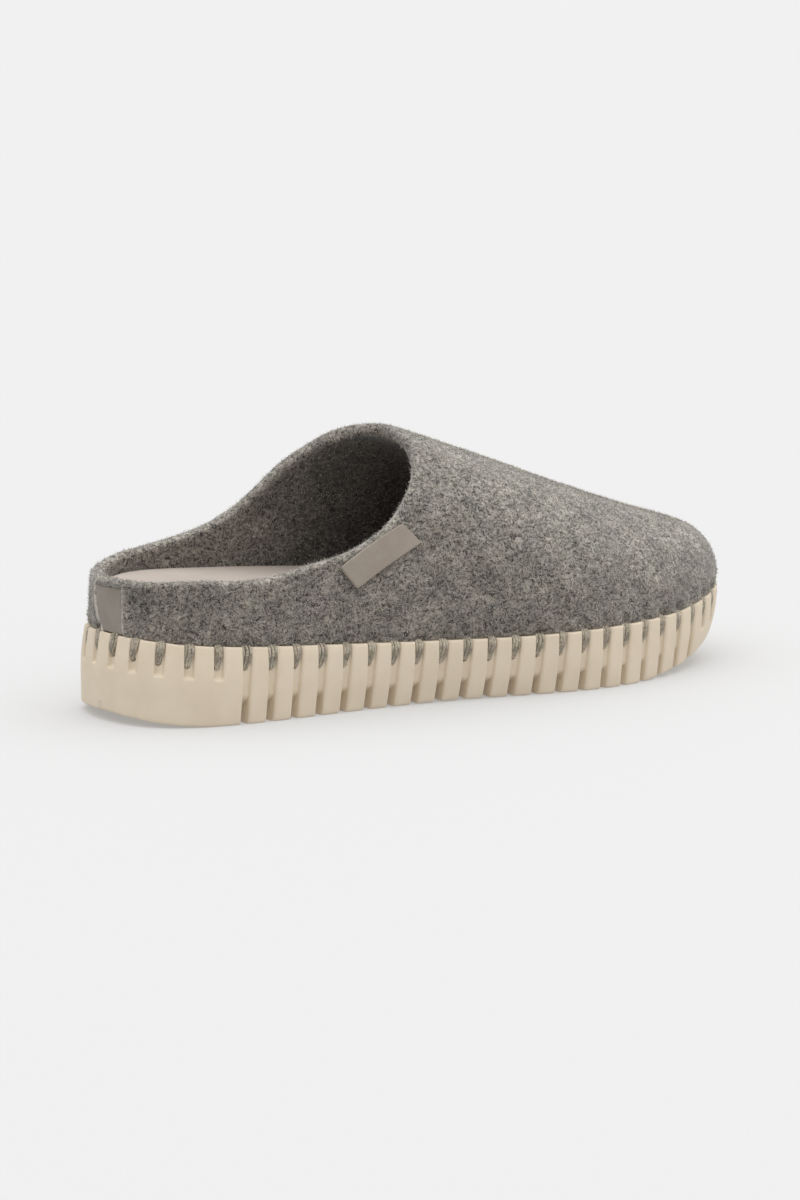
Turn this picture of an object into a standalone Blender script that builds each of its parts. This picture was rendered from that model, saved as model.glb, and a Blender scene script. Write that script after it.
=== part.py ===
"""Felt slipper for the right foot: rubber sole, felt shell, footbed, heel strip and label.

The toe points along +X, the outer side faces -Y and the sole stands on Z = 0.
Sizes and tables are in millimetres; table distances run from the heel towards the toe.
"""

import math
from typing import NamedTuple

import bmesh
import bpy
import numpy as np

MM = 0.001
OBJECT_NAME = "felt_slipper"
CUTTER_COLLECTION = "cutters"


class PlanRow(NamedTuple):
    """Half widths of the sole at one distance from the heel."""

    x: float
    outer: float
    inner: float


class Height(NamedTuple):
    """One height along the shoe."""

    x: float
    z: float


class GrooveRow(NamedTuple):
    """Arc distance from the heel centre of one numbered groove."""

    number: int
    arc: float


class Edge(NamedTuple):
    """One ring of an edge profile: how far in from the form and how far above its level."""

    inset: float
    rise: float


class Colour(NamedTuple):
    """Linear colour and roughness of one material."""

    red: float
    green: float
    blue: float
    roughness: float


# Sole plan
LENGTH = 259.0
HEEL_TIP = (0.0, 0.0)
TOE_TIP = (259.0, 2.5)
PLAN = (
    PlanRow(4.0, -19.0, 19.0),
    PlanRow(14.0, -30.0, 29.5),
    PlanRow(32.0, -36.5, 35.0),
    PlanRow(60.0, -39.0, 35.5),
    PlanRow(95.0, -41.5, 33.5),
    PlanRow(128.0, -47.0, 34.0),
    PlanRow(158.0, -53.0, 38.5),
    PlanRow(186.0, -54.0, 43.5),
    PlanRow(211.0, -49.0, 45.8),
    PlanRow(229.5, -42.0, 42.5),
    PlanRow(245.0, -32.0, 34.0),
    PlanRow(254.0, -21.5, 23.5),
)
SPLINE_STEPS = 40
HALF_COLUMNS = 70

# Sole wall, bevelled heel, low arch and toe spring
SOLE_TOP = (
    Height(0.0, 31.0),
    Height(20.0, 28.8),
    Height(60.0, 25.8),
    Height(110.0, 23.0),
    Height(150.0, 22.0),
    Height(195.0, 22.4),
    Height(215.0, 22.9),
    Height(232.0, 24.5),
    Height(247.0, 26.8),
    Height(259.0, 28.8),
)
SOLE_BOTTOM = (
    Height(0.0, 3.6),
    Height(12.0, 1.3),
    Height(28.0, 0.0),
    Height(95.0, 0.0),
    Height(122.0, 0.4),
    Height(150.0, 0.0),
    Height(195.0, 0.0),
    Height(218.0, 2.1),
    Height(238.0, 6.4),
    Height(259.0, 12.0),
)
BOTTOM_TUCK = (
    Height(0.0, 0.0),
    Height(20.0, 0.6),
    Height(65.0, 1.2),
    Height(100.0, 2.8),
    Height(140.0, 3.5),
    Height(160.0, 2.6),
    Height(178.0, 1.2),
    Height(195.0, 0.7),
    Height(220.0, 1.4),
    Height(238.0, 2.2),
    Height(259.0, 3.4),
)
TOP_TUCK = (
    Height(0.0, 1.7),
    Height(45.0, 1.0),
    Height(100.0, 0.3),
    Height(259.0, 0.0),
)
BOTTOM_ROUND = 1.2
WIDEST_SHARE = (
    Height(0.0, 0.42),
    Height(25.0, 0.5),
    Height(60.0, 0.85),
    Height(259.0, 0.9),
)
MIDDLE_TUCK = 0.27

# Grooves and lug gaps
OUTER_GROOVES = (
    GrooveRow(1, 6.9),
    GrooveRow(6, 60.6),
    GrooveRow(11, 110.5),
    GrooveRow(22, 213.4),
    GrooveRow(26, 252.8),
    GrooveRow(32, 311.7),
)
INNER_GROOVES = (
    GrooveRow(1, 4.0),
    GrooveRow(6, 57.8),
    GrooveRow(11, 109.0),
    GrooveRow(22, 213.4),
    GrooveRow(26, 252.8),
    GrooveRow(32, 311.7),
)
FIRST_FULL_GROOVE = 6
LAST_FULL_GROOVE = 26
LAST_GROOVE = 32
GROOVE_WIDTH = 3.2
GROOVE_DEPTH = 1.5
SHORT_GROOVE_LENGTH = 11.2
GAP_DEPTH = 10.0
GAP_SHARE = 0.36
GAP_SLOPE = 2.5
GROOVE_LEAN = 0.055
UPRIGHT_GROOVES = 3
CUT_MARGIN = 2.0

# Felt shell
FIT_GAP = 0.3
WALL = 4.6
SHELL_ROWS = 9
SHELL_INSET = (
    Height(0.0, 3.3),
    Height(40.0, 2.0),
    Height(120.0, 1.5),
    Height(220.0, 1.0),
    Height(259.0, 0.7),
)
ROOF = (
    Height(0.0, 124.0),
    Height(60.0, 116.0),
    Height(115.5, 96.6),
    Height(131.5, 91.4),
    Height(173.5, 75.9),
    Height(219.0, 59.3),
    Height(240.0, 52.1),
    Height(252.0, 48.0),
    Height(259.0, 45.8),
)
SPINE_SIDE = (
    Height(0.0, 0.0),
    Height(60.0, -2.0),
    Height(120.0, -1.0),
    Height(190.0, 0.5),
    Height(226.0, 2.5),
)
SQUARENESS = (
    Height(0.0, 2.3),
    Height(110.0, 2.15),
    Height(190.0, 2.3),
    Height(226.0, 3.2),
    Height(246.0, 4.8),
    Height(259.0, 5.8),
)
RIB_LEAN = (
    Height(38.0, 0.0),
    Height(100.0, 16.0),
    Height(145.0, 24.0),
    Height(190.0, 13.0),
    Height(226.0, 0.0),
)
HEEL_POLE = 38.0
THROAT = 120.0
THROAT_COLUMN = 38
TOE_POLE = 226.0
COLLAR_OUTER = (
    Height(2.5, 48.6),
    Height(9.0, 50.4),
    Height(23.0, 51.3),
    Height(40.0, 50.4),
    Height(49.0, 50.8),
    Height(57.0, 52.2),
    Height(66.0, 54.0),
    Height(75.0, 55.6),
    Height(86.0, 58.8),
    Height(93.0, 62.2),
    Height(99.5, 66.3),
    Height(107.0, 73.3),
    Height(112.0, 78.9),
    Height(116.3, 85.3),
    Height(118.8, 90.5),
    Height(120.0, 95.1),
)
COLLAR_INNER = (
    Height(2.5, 48.6),
    Height(12.0, 50.1),
    Height(24.0, 52.4),
    Height(35.0, 54.0),
    Height(46.0, 55.4),
    Height(56.0, 57.5),
    Height(65.0, 60.5),
    Height(73.0, 65.2),
    Height(83.0, 72.8),
    Height(91.0, 80.4),
    Height(100.0, 86.6),
    Height(106.0, 91.0),
    Height(113.5, 94.1),
    Height(118.0, 94.9),
    Height(120.0, 95.1),
)
ROOT_STEPS = 40

# Footbed
FOOTBED_TOP = (
    Height(0.0, 45.5),
    Height(25.0, 46.4),
    Height(60.0, 44.7),
    Height(105.0, 41.3),
    Height(150.0, 36.1),
    Height(190.0, 33.2),
    Height(228.0, 31.8),
    Height(259.0, 35.8),
)
FOOTBED_EDGE = (Edge(0.0, -2.4), Edge(0.7, -0.7), Edge(2.4, 0.0))

# Heel strip and label
STRIP_ARC = 1.5
STRIP_WIDTH = 17.8
STRIP_THICKNESS = 1.1
STRIP_COLUMNS = 6
STRIP_ROWS = 6
STRIP_FOOT = 1.0
LABEL_ARC = 116.7
LABEL_ANGLE = 67.5
LABEL_TURN = 26.5
LABEL_SKEW = 14.0
LABEL_LENGTH = 30.0
LABEL_WIDTH = 10.0
LABEL_THICKNESS = 1.1
LABEL_COLUMNS = 10
LABEL_ROWS = 4
NUDGE = 0.005
SHARP_ANGLE = 40.0

RUBBER = Colour(0.62, 0.52, 0.39, 0.55)
FELT = Colour(0.25, 0.24, 0.215, 0.95)
LEATHER = Colour(0.51, 0.43, 0.37, 0.7)
SUEDE = Colour(0.265, 0.23, 0.195, 0.75)


def smooth(table, x):
    """Monotone curve through the rows of a height table, held level past its ends."""
    xs = np.array([row.x for row in table])
    zs = np.array([row.z for row in table])
    step = np.diff(xs)
    slope = np.diff(zs) / step
    tangent = np.zeros(len(xs))
    for i in range(1, len(xs) - 1):
        if slope[i - 1] * slope[i] > 0.0:
            before = 2.0 * step[i] + step[i - 1]
            after = step[i] + 2.0 * step[i - 1]
            tangent[i] = (before + after) / (before / slope[i - 1] + after / slope[i])
    tangent[0] = slope[0]
    tangent[-1] = slope[-1]
    at = np.clip(np.asarray(x, dtype=float), xs[0], xs[-1])
    i = np.clip(np.searchsorted(xs, at) - 1, 0, len(step) - 1)
    t = (at - xs[i]) / step[i]
    rest = 1.0 - t
    ends = zs[i] * (1.0 + 2.0 * t) * rest ** 2 + zs[i + 1] * (3.0 - 2.0 * t) * t ** 2
    return ends + step[i] * (tangent[i] * t * rest ** 2 - tangent[i + 1] * rest * t ** 2)


def closed_curve(points):
    """Dense closed cubic curve through plan points."""
    count = len(points)
    knot = np.sqrt(np.linalg.norm(np.roll(points, -1, 0) - points, axis=1))
    matrix = np.zeros((count, count))
    right = np.zeros((count, 2))
    for i in range(count):
        before, after = knot[i - 1], knot[i]
        following = (i + 1) % count
        matrix[i, i - 1] += after
        matrix[i, i] += 2.0 * (before + after)
        matrix[i, following] += before
        ahead = before / after * (points[following] - points[i])
        behind = after / before * (points[i] - points[i - 1])
        right[i] = 3.0 * (ahead + behind)
    tangent = np.linalg.solve(matrix, right)
    t = np.linspace(0.0, 1.0, SPLINE_STEPS, endpoint=False)[:, None]
    rest = 1.0 - t
    pieces = []
    for i in range(count):
        following = (i + 1) % count
        start = points[i] * (1.0 + 2.0 * t) * rest ** 2
        end = points[following] * (3.0 - 2.0 * t) * t ** 2
        bend = tangent[i] * t * rest ** 2 - tangent[following] * rest * t ** 2
        pieces.append(start + end + knot[i] * bend)
    return np.concatenate(pieces)


class Half(NamedTuple):
    """One side of the sole plan from heel tip to toe tip, by share of its arc."""

    share: np.ndarray
    point: np.ndarray
    normal: np.ndarray
    length: float


def plan_halves():
    """Outer and inner halves of the sole plan, with outward normals, centred side to side."""
    outer = [(row.x, row.outer) for row in PLAN]
    inner = [(row.x, row.inner) for row in reversed(PLAN)]
    curve = closed_curve(np.array([HEEL_TIP, *outer, TOE_TIP, *inner]))
    curve[:, 1] -= 0.5 * (curve[:, 1].min() + curve[:, 1].max())
    tangent = np.roll(curve, -1, 0) - np.roll(curve, 1, 0)
    tangent /= np.linalg.norm(tangent, axis=1)[:, None]
    normal = np.stack([tangent[:, 1], -tangent[:, 0]], axis=1)
    toe = (len(PLAN) + 1) * SPLINE_STEPS
    closed = np.vstack([curve, curve[:1]])
    normals = np.vstack([normal, normal[:1]])
    halves = []
    for part, facing in ((closed[:toe + 1], normals[:toe + 1]), (closed[toe:][::-1], normals[toe:][::-1])):
        run = np.concatenate([[0.0], np.cumsum(np.linalg.norm(np.diff(part, axis=0), axis=1))])
        halves.append(Half(run / run[-1], part, facing, run[-1]))
    return halves


OUTER, INNER = 0, 1
HALVES = plan_halves()
CENTRE_LINE = float(HALVES[OUTER].point[0, 1])


def plan_at(side, share, inset):
    """Plan points of one side, moved in from the sole's edge."""
    half = HALVES[side]
    point = np.stack([np.interp(share, half.share, half.point[:, i]) for i in (0, 1)], axis=-1)
    normal = np.stack([np.interp(share, half.share, half.normal[:, i]) for i in (0, 1)], axis=-1)
    normal /= np.linalg.norm(normal, axis=-1)[..., None]
    return point - normal * np.asarray(inset, dtype=float)[..., None]


def rib_middle(share):
    """Distance along the shoe midway between the feet of both sides' ribs."""
    share = np.asarray(share, dtype=float)
    feet = [plan_at(side, share, 0.0 * share)[..., 0] for side in (OUTER, INNER)]
    return 0.5 * (feet[OUTER] + feet[INNER])


def lean_scale():
    """Factor on the ribs' lean that brings one pair of ribs together exactly at the throat."""
    middle = rib_middle(THROAT_COLUMN / HALF_COLUMNS)
    return float((middle - THROAT) / smooth(RIB_LEAN, middle))


LEAN_SCALE = lean_scale()


def spine_x(share):
    """Distance along the shoe where the ribs of both sides at one share of the arc meet."""
    middle = rib_middle(share)
    return np.clip(middle - LEAN_SCALE * smooth(RIB_LEAN, middle), HEEL_POLE, TOE_POLE)


def shell_points(side, share, angle, offset, spine=None):
    """Points of the shell's form: ribs that spring from the sole and close over the spine.

    The angle runs from a quarter turn at the sole to zero on the spine, and the offset is
    the depth below the outer face.
    """
    share = np.asarray(share, dtype=float)
    edge = plan_at(side, share, 0.0 * share)
    base = plan_at(side, share, smooth(SHELL_INSET, edge[..., 0]) + offset)
    top = spine_x(share) if spine is None else spine
    fall = (smooth(ROOF, top - 1.0) - smooth(ROOF, top + 1.0)) / 2.0
    slant = np.sqrt(1.0 + fall ** 2)
    peak_x = top - offset * fall / slant
    peak_y = CENTRE_LINE + smooth(SPINE_SIDE, top)
    square = smooth(SQUARENESS, base[..., 0])
    reach = np.clip(np.sin(angle), 0.0, 1.0) ** (2.0 / square)
    x = peak_x + (base[..., 0] - peak_x) * reach
    y = peak_y + (base[..., 1] - peak_y) * reach
    floor = smooth(SOLE_TOP, base[..., 0]) + FIT_GAP
    roof = smooth(ROOF, x) - offset * slant
    z = floor + (roof - floor) * np.cos(angle)
    return np.stack([x, y, z], axis=-1)


def collar_angle(side, share, spine):
    """Rib angle at which one rib reaches the collar."""
    table = COLLAR_OUTER if side == OUTER else COLLAR_INNER
    low, high = 0.0, 0.5 * math.pi
    for _ in range(ROOT_STEPS):
        middle = 0.5 * (low + high)
        point = shell_points(side, share, middle, 0.0, spine)
        if point[2] > smooth(table, point[0]):
            low = middle
        else:
            high = middle
    return 0.5 * (low + high)


def new_object(name, vertices, faces, collection):
    """Closed mesh object with faces turned outward."""
    mesh = bpy.data.meshes.new(name)
    work = bmesh.new()
    made = [work.verts.new([value * MM for value in vertex]) for vertex in vertices]
    for face in faces:
        corners = list(dict.fromkeys(face))
        if len(corners) > 2:
            work.faces.new([made[i] for i in corners])
    bmesh.ops.triangulate(work, faces=[face for face in work.faces if len(face.verts) > 4])
    bmesh.ops.recalc_face_normals(work, faces=work.faces)
    work.to_mesh(mesh)
    work.free()
    mesh.shade_smooth()
    mesh.set_sharp_from_angle(angle=math.radians(SHARP_ANGLE))
    obj = bpy.data.objects.new(name, mesh)
    collection.objects.link(obj)
    return obj


def to_row(points):
    """Plan distances from the heel changed to distances from the middle of the shoe."""
    moved = np.array(points, dtype=float).reshape(-1, 3)
    moved[:, 0] -= 0.5 * LENGTH
    return [tuple(point) for point in moved]


def ring_columns():
    """Side and share of each column round the plan, from the heel tip over the outer side."""
    outer = [(OUTER, k / HALF_COLUMNS) for k in range(HALF_COLUMNS + 1)]
    inner = [(INNER, k / HALF_COLUMNS) for k in range(HALF_COLUMNS - 1, 0, -1)]
    return outer + inner


def stacked_rings(name, rings, collection):
    """Solid between stacked rings, closed below and above by strips from side to side."""
    count = len(rings[0])
    vertices = [point for ring in rings for point in ring]
    faces = []
    for level in range(len(rings) - 1):
        for i in range(count):
            j = (i + 1) % count
            low, high = level * count, (level + 1) * count
            faces.append((low + i, low + j, high + j, high + i))
    last = (len(rings) - 1) * count
    for start in (0, last):
        for k in range(HALF_COLUMNS):
            far, near = (count - k) % count, (count - k - 1) % count
            faces.append((start + k, start + k + 1, start + near, start + far))
    return new_object(name, to_row(vertices), faces, collection)


def wall_inset(x, rise):
    """Inset of the sole's wall from its outline at one share of its height."""
    widest = float(smooth(WIDEST_SHARE, x))
    tuck = float(smooth(BOTTOM_TUCK, x))
    insets = (tuck, MIDDLE_TUCK * tuck, 0.0, float(smooth(TOP_TUCK, x)))
    return float(np.interp(rise, (0.0, 0.5 * widest, widest, 1.0), insets))


def sole_ring(extra_inset, level):
    """One ring of the sole's wall at a height given by a function of the distance along it."""
    ring = []
    for side, share in ring_columns():
        edge = plan_at(side, share, 0.0)
        height = float(level(edge[0]))
        bottom = float(sole_bottom(edge[0]))
        rise = (height - bottom) / (float(sole_top(edge[0])) - bottom)
        point = plan_at(side, share, wall_inset(edge[0], rise) + extra_inset)
        ring.append((point[0], point[1], height))
    return ring


def sole_top(x):
    """Height of the sole's top edge."""
    return smooth(SOLE_TOP, x)


def sole_bottom(x):
    """Height of the sole's underside."""
    return smooth(SOLE_BOTTOM, x)


def sole_widest(x):
    """Height of the widest ring of the sole's wall."""
    return sole_bottom(x) + smooth(WIDEST_SHARE, x) * (sole_top(x) - sole_bottom(x))


def sole_middle(x):
    """Height of the ring midway between the underside and the widest ring."""
    return 0.5 * (sole_bottom(x) + sole_widest(x))


def groove_cutters(collection):
    """Prisms that cut the short grooves and the full grooves with their lug gaps."""
    vertices = []
    faces = []
    reach = HALVES[OUTER].length
    for side, rows in ((OUTER, OUTER_GROOVES), (INNER, INNER_GROOVES)):
        numbers = [row.number for row in rows]
        arcs = [row.arc for row in rows]
        last = LAST_GROOVE if side == OUTER else LAST_GROOVE - 1
        for number in range(1, last + 1):
            share = float(np.interp(number, numbers, arcs)) / reach
            edge = plan_at(side, share, 0.0)
            inward = plan_at(side, share, 1.0) - edge
            along = np.array([-inward[1], inward[0]])
            steps = min(number, LAST_GROOVE - number)
            lean = GROOVE_LEAN * min(1.0, steps / UPRIGHT_GROOVES)
            heelward = along * lean if side == OUTER else along * -lean
            top = float(sole_top(edge[0]))
            bottom = float(sole_bottom(edge[0]))
            middle = bottom + GAP_SHARE * (top - bottom)
            shallow = GROOVE_DEPTH + float(smooth(TOP_TUCK, edge[0]))
            slope_rise = (middle + GAP_SLOPE - bottom) / (top - bottom)
            slope_start = GROOVE_DEPTH + wall_inset(edge[0], slope_rise)
            if FIRST_FULL_GROOVE <= number <= LAST_FULL_GROOVE:
                profile = (
                    (-CUT_MARGIN, top + CUT_MARGIN),
                    (shallow, top + CUT_MARGIN),
                    (max(shallow, slope_start), middle + GAP_SLOPE),
                    (GAP_DEPTH, middle - GAP_SLOPE),
                    (GAP_DEPTH, bottom - CUT_MARGIN),
                    (-CUT_MARGIN, bottom - CUT_MARGIN),
                )
            else:
                end = top - SHORT_GROOVE_LENGTH
                profile = (
                    (-CUT_MARGIN, top + CUT_MARGIN),
                    (shallow, top + CUT_MARGIN),
                    (shallow, end),
                    (-CUT_MARGIN, end),
                )
            start = len(vertices)
            for sway in (-0.5, 0.5):
                for depth, height in profile:
                    spot = edge + inward * depth + along * (sway * GROOVE_WIDTH) + heelward * (top - height)
                    vertices.append((spot[0], spot[1], height))
            count = len(profile)
            faces.append(tuple(range(start, start + count)))
            faces.append(tuple(range(start + count, start + 2 * count)))
            for i in range(count):
                j = (i + 1) % count
                faces.append((start + i, start + j, start + count + j, start + count + i))
    cutter = new_object("groove_cutters", to_row(vertices), faces, collection)
    cutter.hide_render = True
    cutter.display_type = "WIRE"
    return cutter


def build_outsole(parts, cutters):
    """Rubber sole with bevelled heel, low arch, toe spring, grooves and lug gaps."""
    rings = (
        sole_ring(BOTTOM_ROUND, sole_bottom),
        sole_ring(0.0, lambda x: sole_bottom(x) + BOTTOM_ROUND),
        sole_ring(0.0, sole_middle),
        sole_ring(0.0, sole_widest),
        sole_ring(0.0, sole_top),
    )
    sole = stacked_rings("outsole", rings, parts)
    cut = sole.modifiers.new("grooves", "BOOLEAN")
    cut.operation = "DIFFERENCE"
    cut.solver = "MANIFOLD"
    cut.object = groove_cutters(cutters)
    return sole


def build_upper(parts):
    """Hollow felt shell, open at the collar and underneath."""
    columns = ring_columns()
    spines = []
    for k in range(HALF_COLUMNS + 1):
        spines.append(float(spine_x(np.array(k / HALF_COLUMNS))))
    pole = next(k for k, x in enumerate(spines) if x >= TOE_POLE)
    vertices = []
    shared = {}
    grids = []
    for offset in (0.0, WALL):
        grid = []
        for side, share in columns:
            k = round(share * HALF_COLUMNS)
            top = 0.0 if k >= THROAT_COLUMN else collar_angle(side, share, spines[k])
            column = []
            for j in range(SHELL_ROWS + 1):
                angle = 0.5 * math.pi + (top - 0.5 * math.pi) * j / SHELL_ROWS
                key = (offset, min(k, pole)) if j == SHELL_ROWS and k >= THROAT_COLUMN else None
                if key in shared:
                    column.append(shared[key])
                    continue
                if key is not None:
                    shared[key] = len(vertices)
                column.append(len(vertices))
                vertices.append(shell_points(side, share, angle, offset, spines[k]))
            grid.append(column)
        grids.append(grid)
    faces = []
    count = len(columns)
    for grid in grids:
        for i in range(count):
            here, beside = grid[i], grid[(i + 1) % count]
            for j in range(SHELL_ROWS):
                faces.append((here[j], beside[j], beside[j + 1], here[j + 1]))
    outside, inside = grids
    for i in range(count):
        j = (i + 1) % count
        faces.append((outside[i][0], outside[j][0], inside[j][0], inside[i][0]))
        if round(max(columns[i][1], columns[j][1]) * HALF_COLUMNS) <= THROAT_COLUMN:
            faces.append((outside[i][-1], outside[j][-1], inside[j][-1], inside[i][-1]))
    return new_object("upper", to_row(vertices), faces, parts)


def footbed_point(side, share, height, inset):
    """Point beside the shell's inner face at one height."""
    low, high = 0.0, 0.5 * math.pi
    for _ in range(ROOT_STEPS):
        middle = 0.5 * (low + high)
        if shell_points(side, share, middle, WALL + FIT_GAP + inset)[2] > height:
            low = middle
        else:
            high = middle
    point = shell_points(side, share, 0.5 * (low + high), WALL + FIT_GAP + inset)
    return (point[0], point[1], height)


def build_insole(parts):
    """Thick footbed that fills the shell from the sole up, with a rounded upper edge."""
    columns = ring_columns()
    base = [tuple(shell_points(side, share, 0.5 * math.pi, WALL + FIT_GAP)) for side, share in columns]
    rings = [base]
    for edge in FOOTBED_EDGE:
        ring = []
        for (side, share), foot in zip(columns, base):
            height = float(smooth(FOOTBED_TOP, foot[0])) + edge.rise
            ring.append(footbed_point(side, share, height, edge.inset))
        rings.append(ring)
    return stacked_rings("insole", rings, parts)


def shell_patch(name, spots, columns, rows, thickness, collection):
    """Piece of even thickness that lies on the shell's outer face."""
    vertices = []
    for offset in (-FIT_GAP, -FIT_GAP - thickness):
        vertices += [shell_points(side, share, angle, offset) for side, share, angle in spots]
    layer = len(spots)
    across = rows + 1
    faces = []
    for start in (0, layer):
        for i in range(columns):
            for j in range(rows):
                a = start + i * across + j
                faces.append((a, a + 1, a + across + 1, a + across))
    rim = [i * across for i in range(columns + 1)]
    rim += [columns * across + j for j in range(1, across)]
    rim += [i * across + rows for i in range(columns - 1, -1, -1)]
    rim += list(range(rows - 1, 0, -1))
    for here, beside in zip(rim, rim[1:] + rim[:1]):
        faces.append((here, beside, layer + beside, layer + here))
    return new_object(name, to_row(vertices), faces, collection)


def build_heel_strip(parts):
    """Smooth strip from the sole to the rim at the middle of the heel."""
    spots = []
    for i in range(STRIP_COLUMNS + 1):
        arc = STRIP_ARC + STRIP_WIDTH * (i / STRIP_COLUMNS - 0.5)
        side = OUTER if arc >= 0.0 else INNER
        share = abs(arc) / HALVES[side].length
        top = collar_angle(side, share, float(spine_x(np.array(share))))
        x = shell_points(side, share, 0.5 * math.pi, 0.0)[0]
        foot = 0.5 * math.pi - STRIP_FOOT / float(smooth(ROOF, x) - smooth(SOLE_TOP, x))
        for j in range(STRIP_ROWS + 1):
            spots.append((side, share, foot + (top - foot) * j / STRIP_ROWS))
    return shell_patch("heel_strip", spots, STRIP_COLUMNS, STRIP_ROWS, STRIP_THICKNESS, parts)


def build_label(parts):
    """Small blank tab below the collar on the outer side."""
    share = LABEL_ARC / HALVES[OUTER].length
    angle = math.radians(LABEL_ANGLE)
    middle = shell_points(OUTER, share, angle, 0.0)
    along = (shell_points(OUTER, share + NUDGE, angle, 0.0) - middle) / NUDGE
    upward = (shell_points(OUTER, share, angle - NUDGE, 0.0) - middle) / NUDGE
    facing = np.cross(along, upward)
    facing /= np.linalg.norm(facing)
    level = np.cross((0.0, 0.0, 1.0), facing)
    level /= np.linalg.norm(level)
    rising = np.cross(facing, level)
    turn = math.radians(LABEL_TURN)
    length_way = level * math.cos(turn) + rising * math.sin(turn)
    slant = turn + math.radians(LABEL_SKEW)
    width_way = (rising * math.cos(slant) - level * math.sin(slant)) / math.cos(slant - turn)
    spots = []
    for i in range(LABEL_COLUMNS + 1):
        for j in range(LABEL_ROWS + 1):
            a = LABEL_LENGTH * (i / LABEL_COLUMNS - 0.5)
            b = LABEL_WIDTH * (j / LABEL_ROWS - 0.5)
            move = a * length_way + b * width_way
            ahead, up = np.linalg.lstsq(np.stack([along, upward], axis=1), move, rcond=None)[0]
            spots.append((OUTER, share + ahead, angle - up))
    return shell_patch("label", spots, LABEL_COLUMNS, LABEL_ROWS, LABEL_THICKNESS, parts)


def material(name, colour):
    """Principled material."""
    made = bpy.data.materials.new(name)
    made.use_nodes = True
    shader = made.node_tree.nodes["Principled BSDF"]
    shader.inputs["Base Color"].default_value = (colour.red, colour.green, colour.blue, 1.0)
    shader.inputs["Roughness"].default_value = colour.roughness
    shader.inputs["Metallic"].default_value = 0.0
    return made


def main():
    """Clear the scene and build the slipper."""
    for obj in list(bpy.data.objects):
        bpy.data.objects.remove(obj, do_unlink=True)
    parts = bpy.data.collections.new(OBJECT_NAME)
    cutters = bpy.data.collections.new(CUTTER_COLLECTION)
    for collection in (parts, cutters):
        bpy.context.scene.collection.children.link(collection)
    pieces = (
        (build_outsole(parts, cutters), "rubber", RUBBER),
        (build_upper(parts), "felt", FELT),
        (build_insole(parts), "footbed_leather", LEATHER),
        (build_heel_strip(parts), "strip_leather", SUEDE),
        (build_label(parts), "label_suede", SUEDE),
    )
    for piece, slot, colour in pieces:
        piece.data.materials.append(material(slot, colour))


main()
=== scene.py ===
"""Looks of the felt slipper for the right foot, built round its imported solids.

The toe points along +X, the outer side faces -Y and the sole stands on Z = 0. Sizes and
tables are in millimetres, and table distances run from the heel towards the toe.
"""

import logging
import math
from dataclasses import dataclass
from enum import Enum
from functools import cached_property
from typing import NamedTuple

import bmesh
import bpy
import numpy as np
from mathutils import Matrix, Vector, noise


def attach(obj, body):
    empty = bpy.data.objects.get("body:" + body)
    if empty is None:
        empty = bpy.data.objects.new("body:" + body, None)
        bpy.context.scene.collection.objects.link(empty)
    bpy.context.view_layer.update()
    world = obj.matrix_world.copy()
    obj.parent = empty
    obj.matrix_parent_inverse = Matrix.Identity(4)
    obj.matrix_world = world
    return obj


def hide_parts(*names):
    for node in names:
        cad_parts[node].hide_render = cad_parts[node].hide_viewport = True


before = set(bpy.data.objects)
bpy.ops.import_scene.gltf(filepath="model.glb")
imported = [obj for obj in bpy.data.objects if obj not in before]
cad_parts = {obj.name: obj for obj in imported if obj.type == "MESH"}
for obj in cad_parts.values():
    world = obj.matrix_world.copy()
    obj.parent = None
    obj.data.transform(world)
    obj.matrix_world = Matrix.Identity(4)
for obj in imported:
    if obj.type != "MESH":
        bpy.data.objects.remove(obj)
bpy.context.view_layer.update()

MM = 0.001
QUARTER_TURN = 0.5 * math.pi
NOISE_MIDDLE = (0.5, 0.5, 0.5)
BODY = "root"
LOG = logging.getLogger("felt_slipper")


class Side(Enum):
    """The two sides of the shoe."""

    OUTER = 0
    INNER = 1


class Slot(Enum):
    """The record's material slots."""

    RUBBER = "rubber"
    FELT = "felt"
    FOOTBED = "footbed_leather"
    STRIP = "strip_leather"
    LABEL = "label_suede"


class PlanRow(NamedTuple):
    """Half widths of the sole at one distance from the heel."""

    x: float
    outer: float
    inner: float


class Height(NamedTuple):
    """One height along the shoe."""

    x: float
    z: float


class GrooveRow(NamedTuple):
    """Arc distance from the heel centre of one numbered groove."""

    number: int
    arc: float


class YarnKnee(NamedTuple):
    """One knee of a stitch: its depth from a surface, its rise over the sole's edge and its spread."""

    depth: float
    rise: float
    spread: float


class Crease(NamedTuple):
    """A soft trough in the felt, seen from the side; a negative depth is a ridge."""

    side: Side
    x: float
    z: float
    run: float
    width: float
    turn: float
    depth: float


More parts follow.
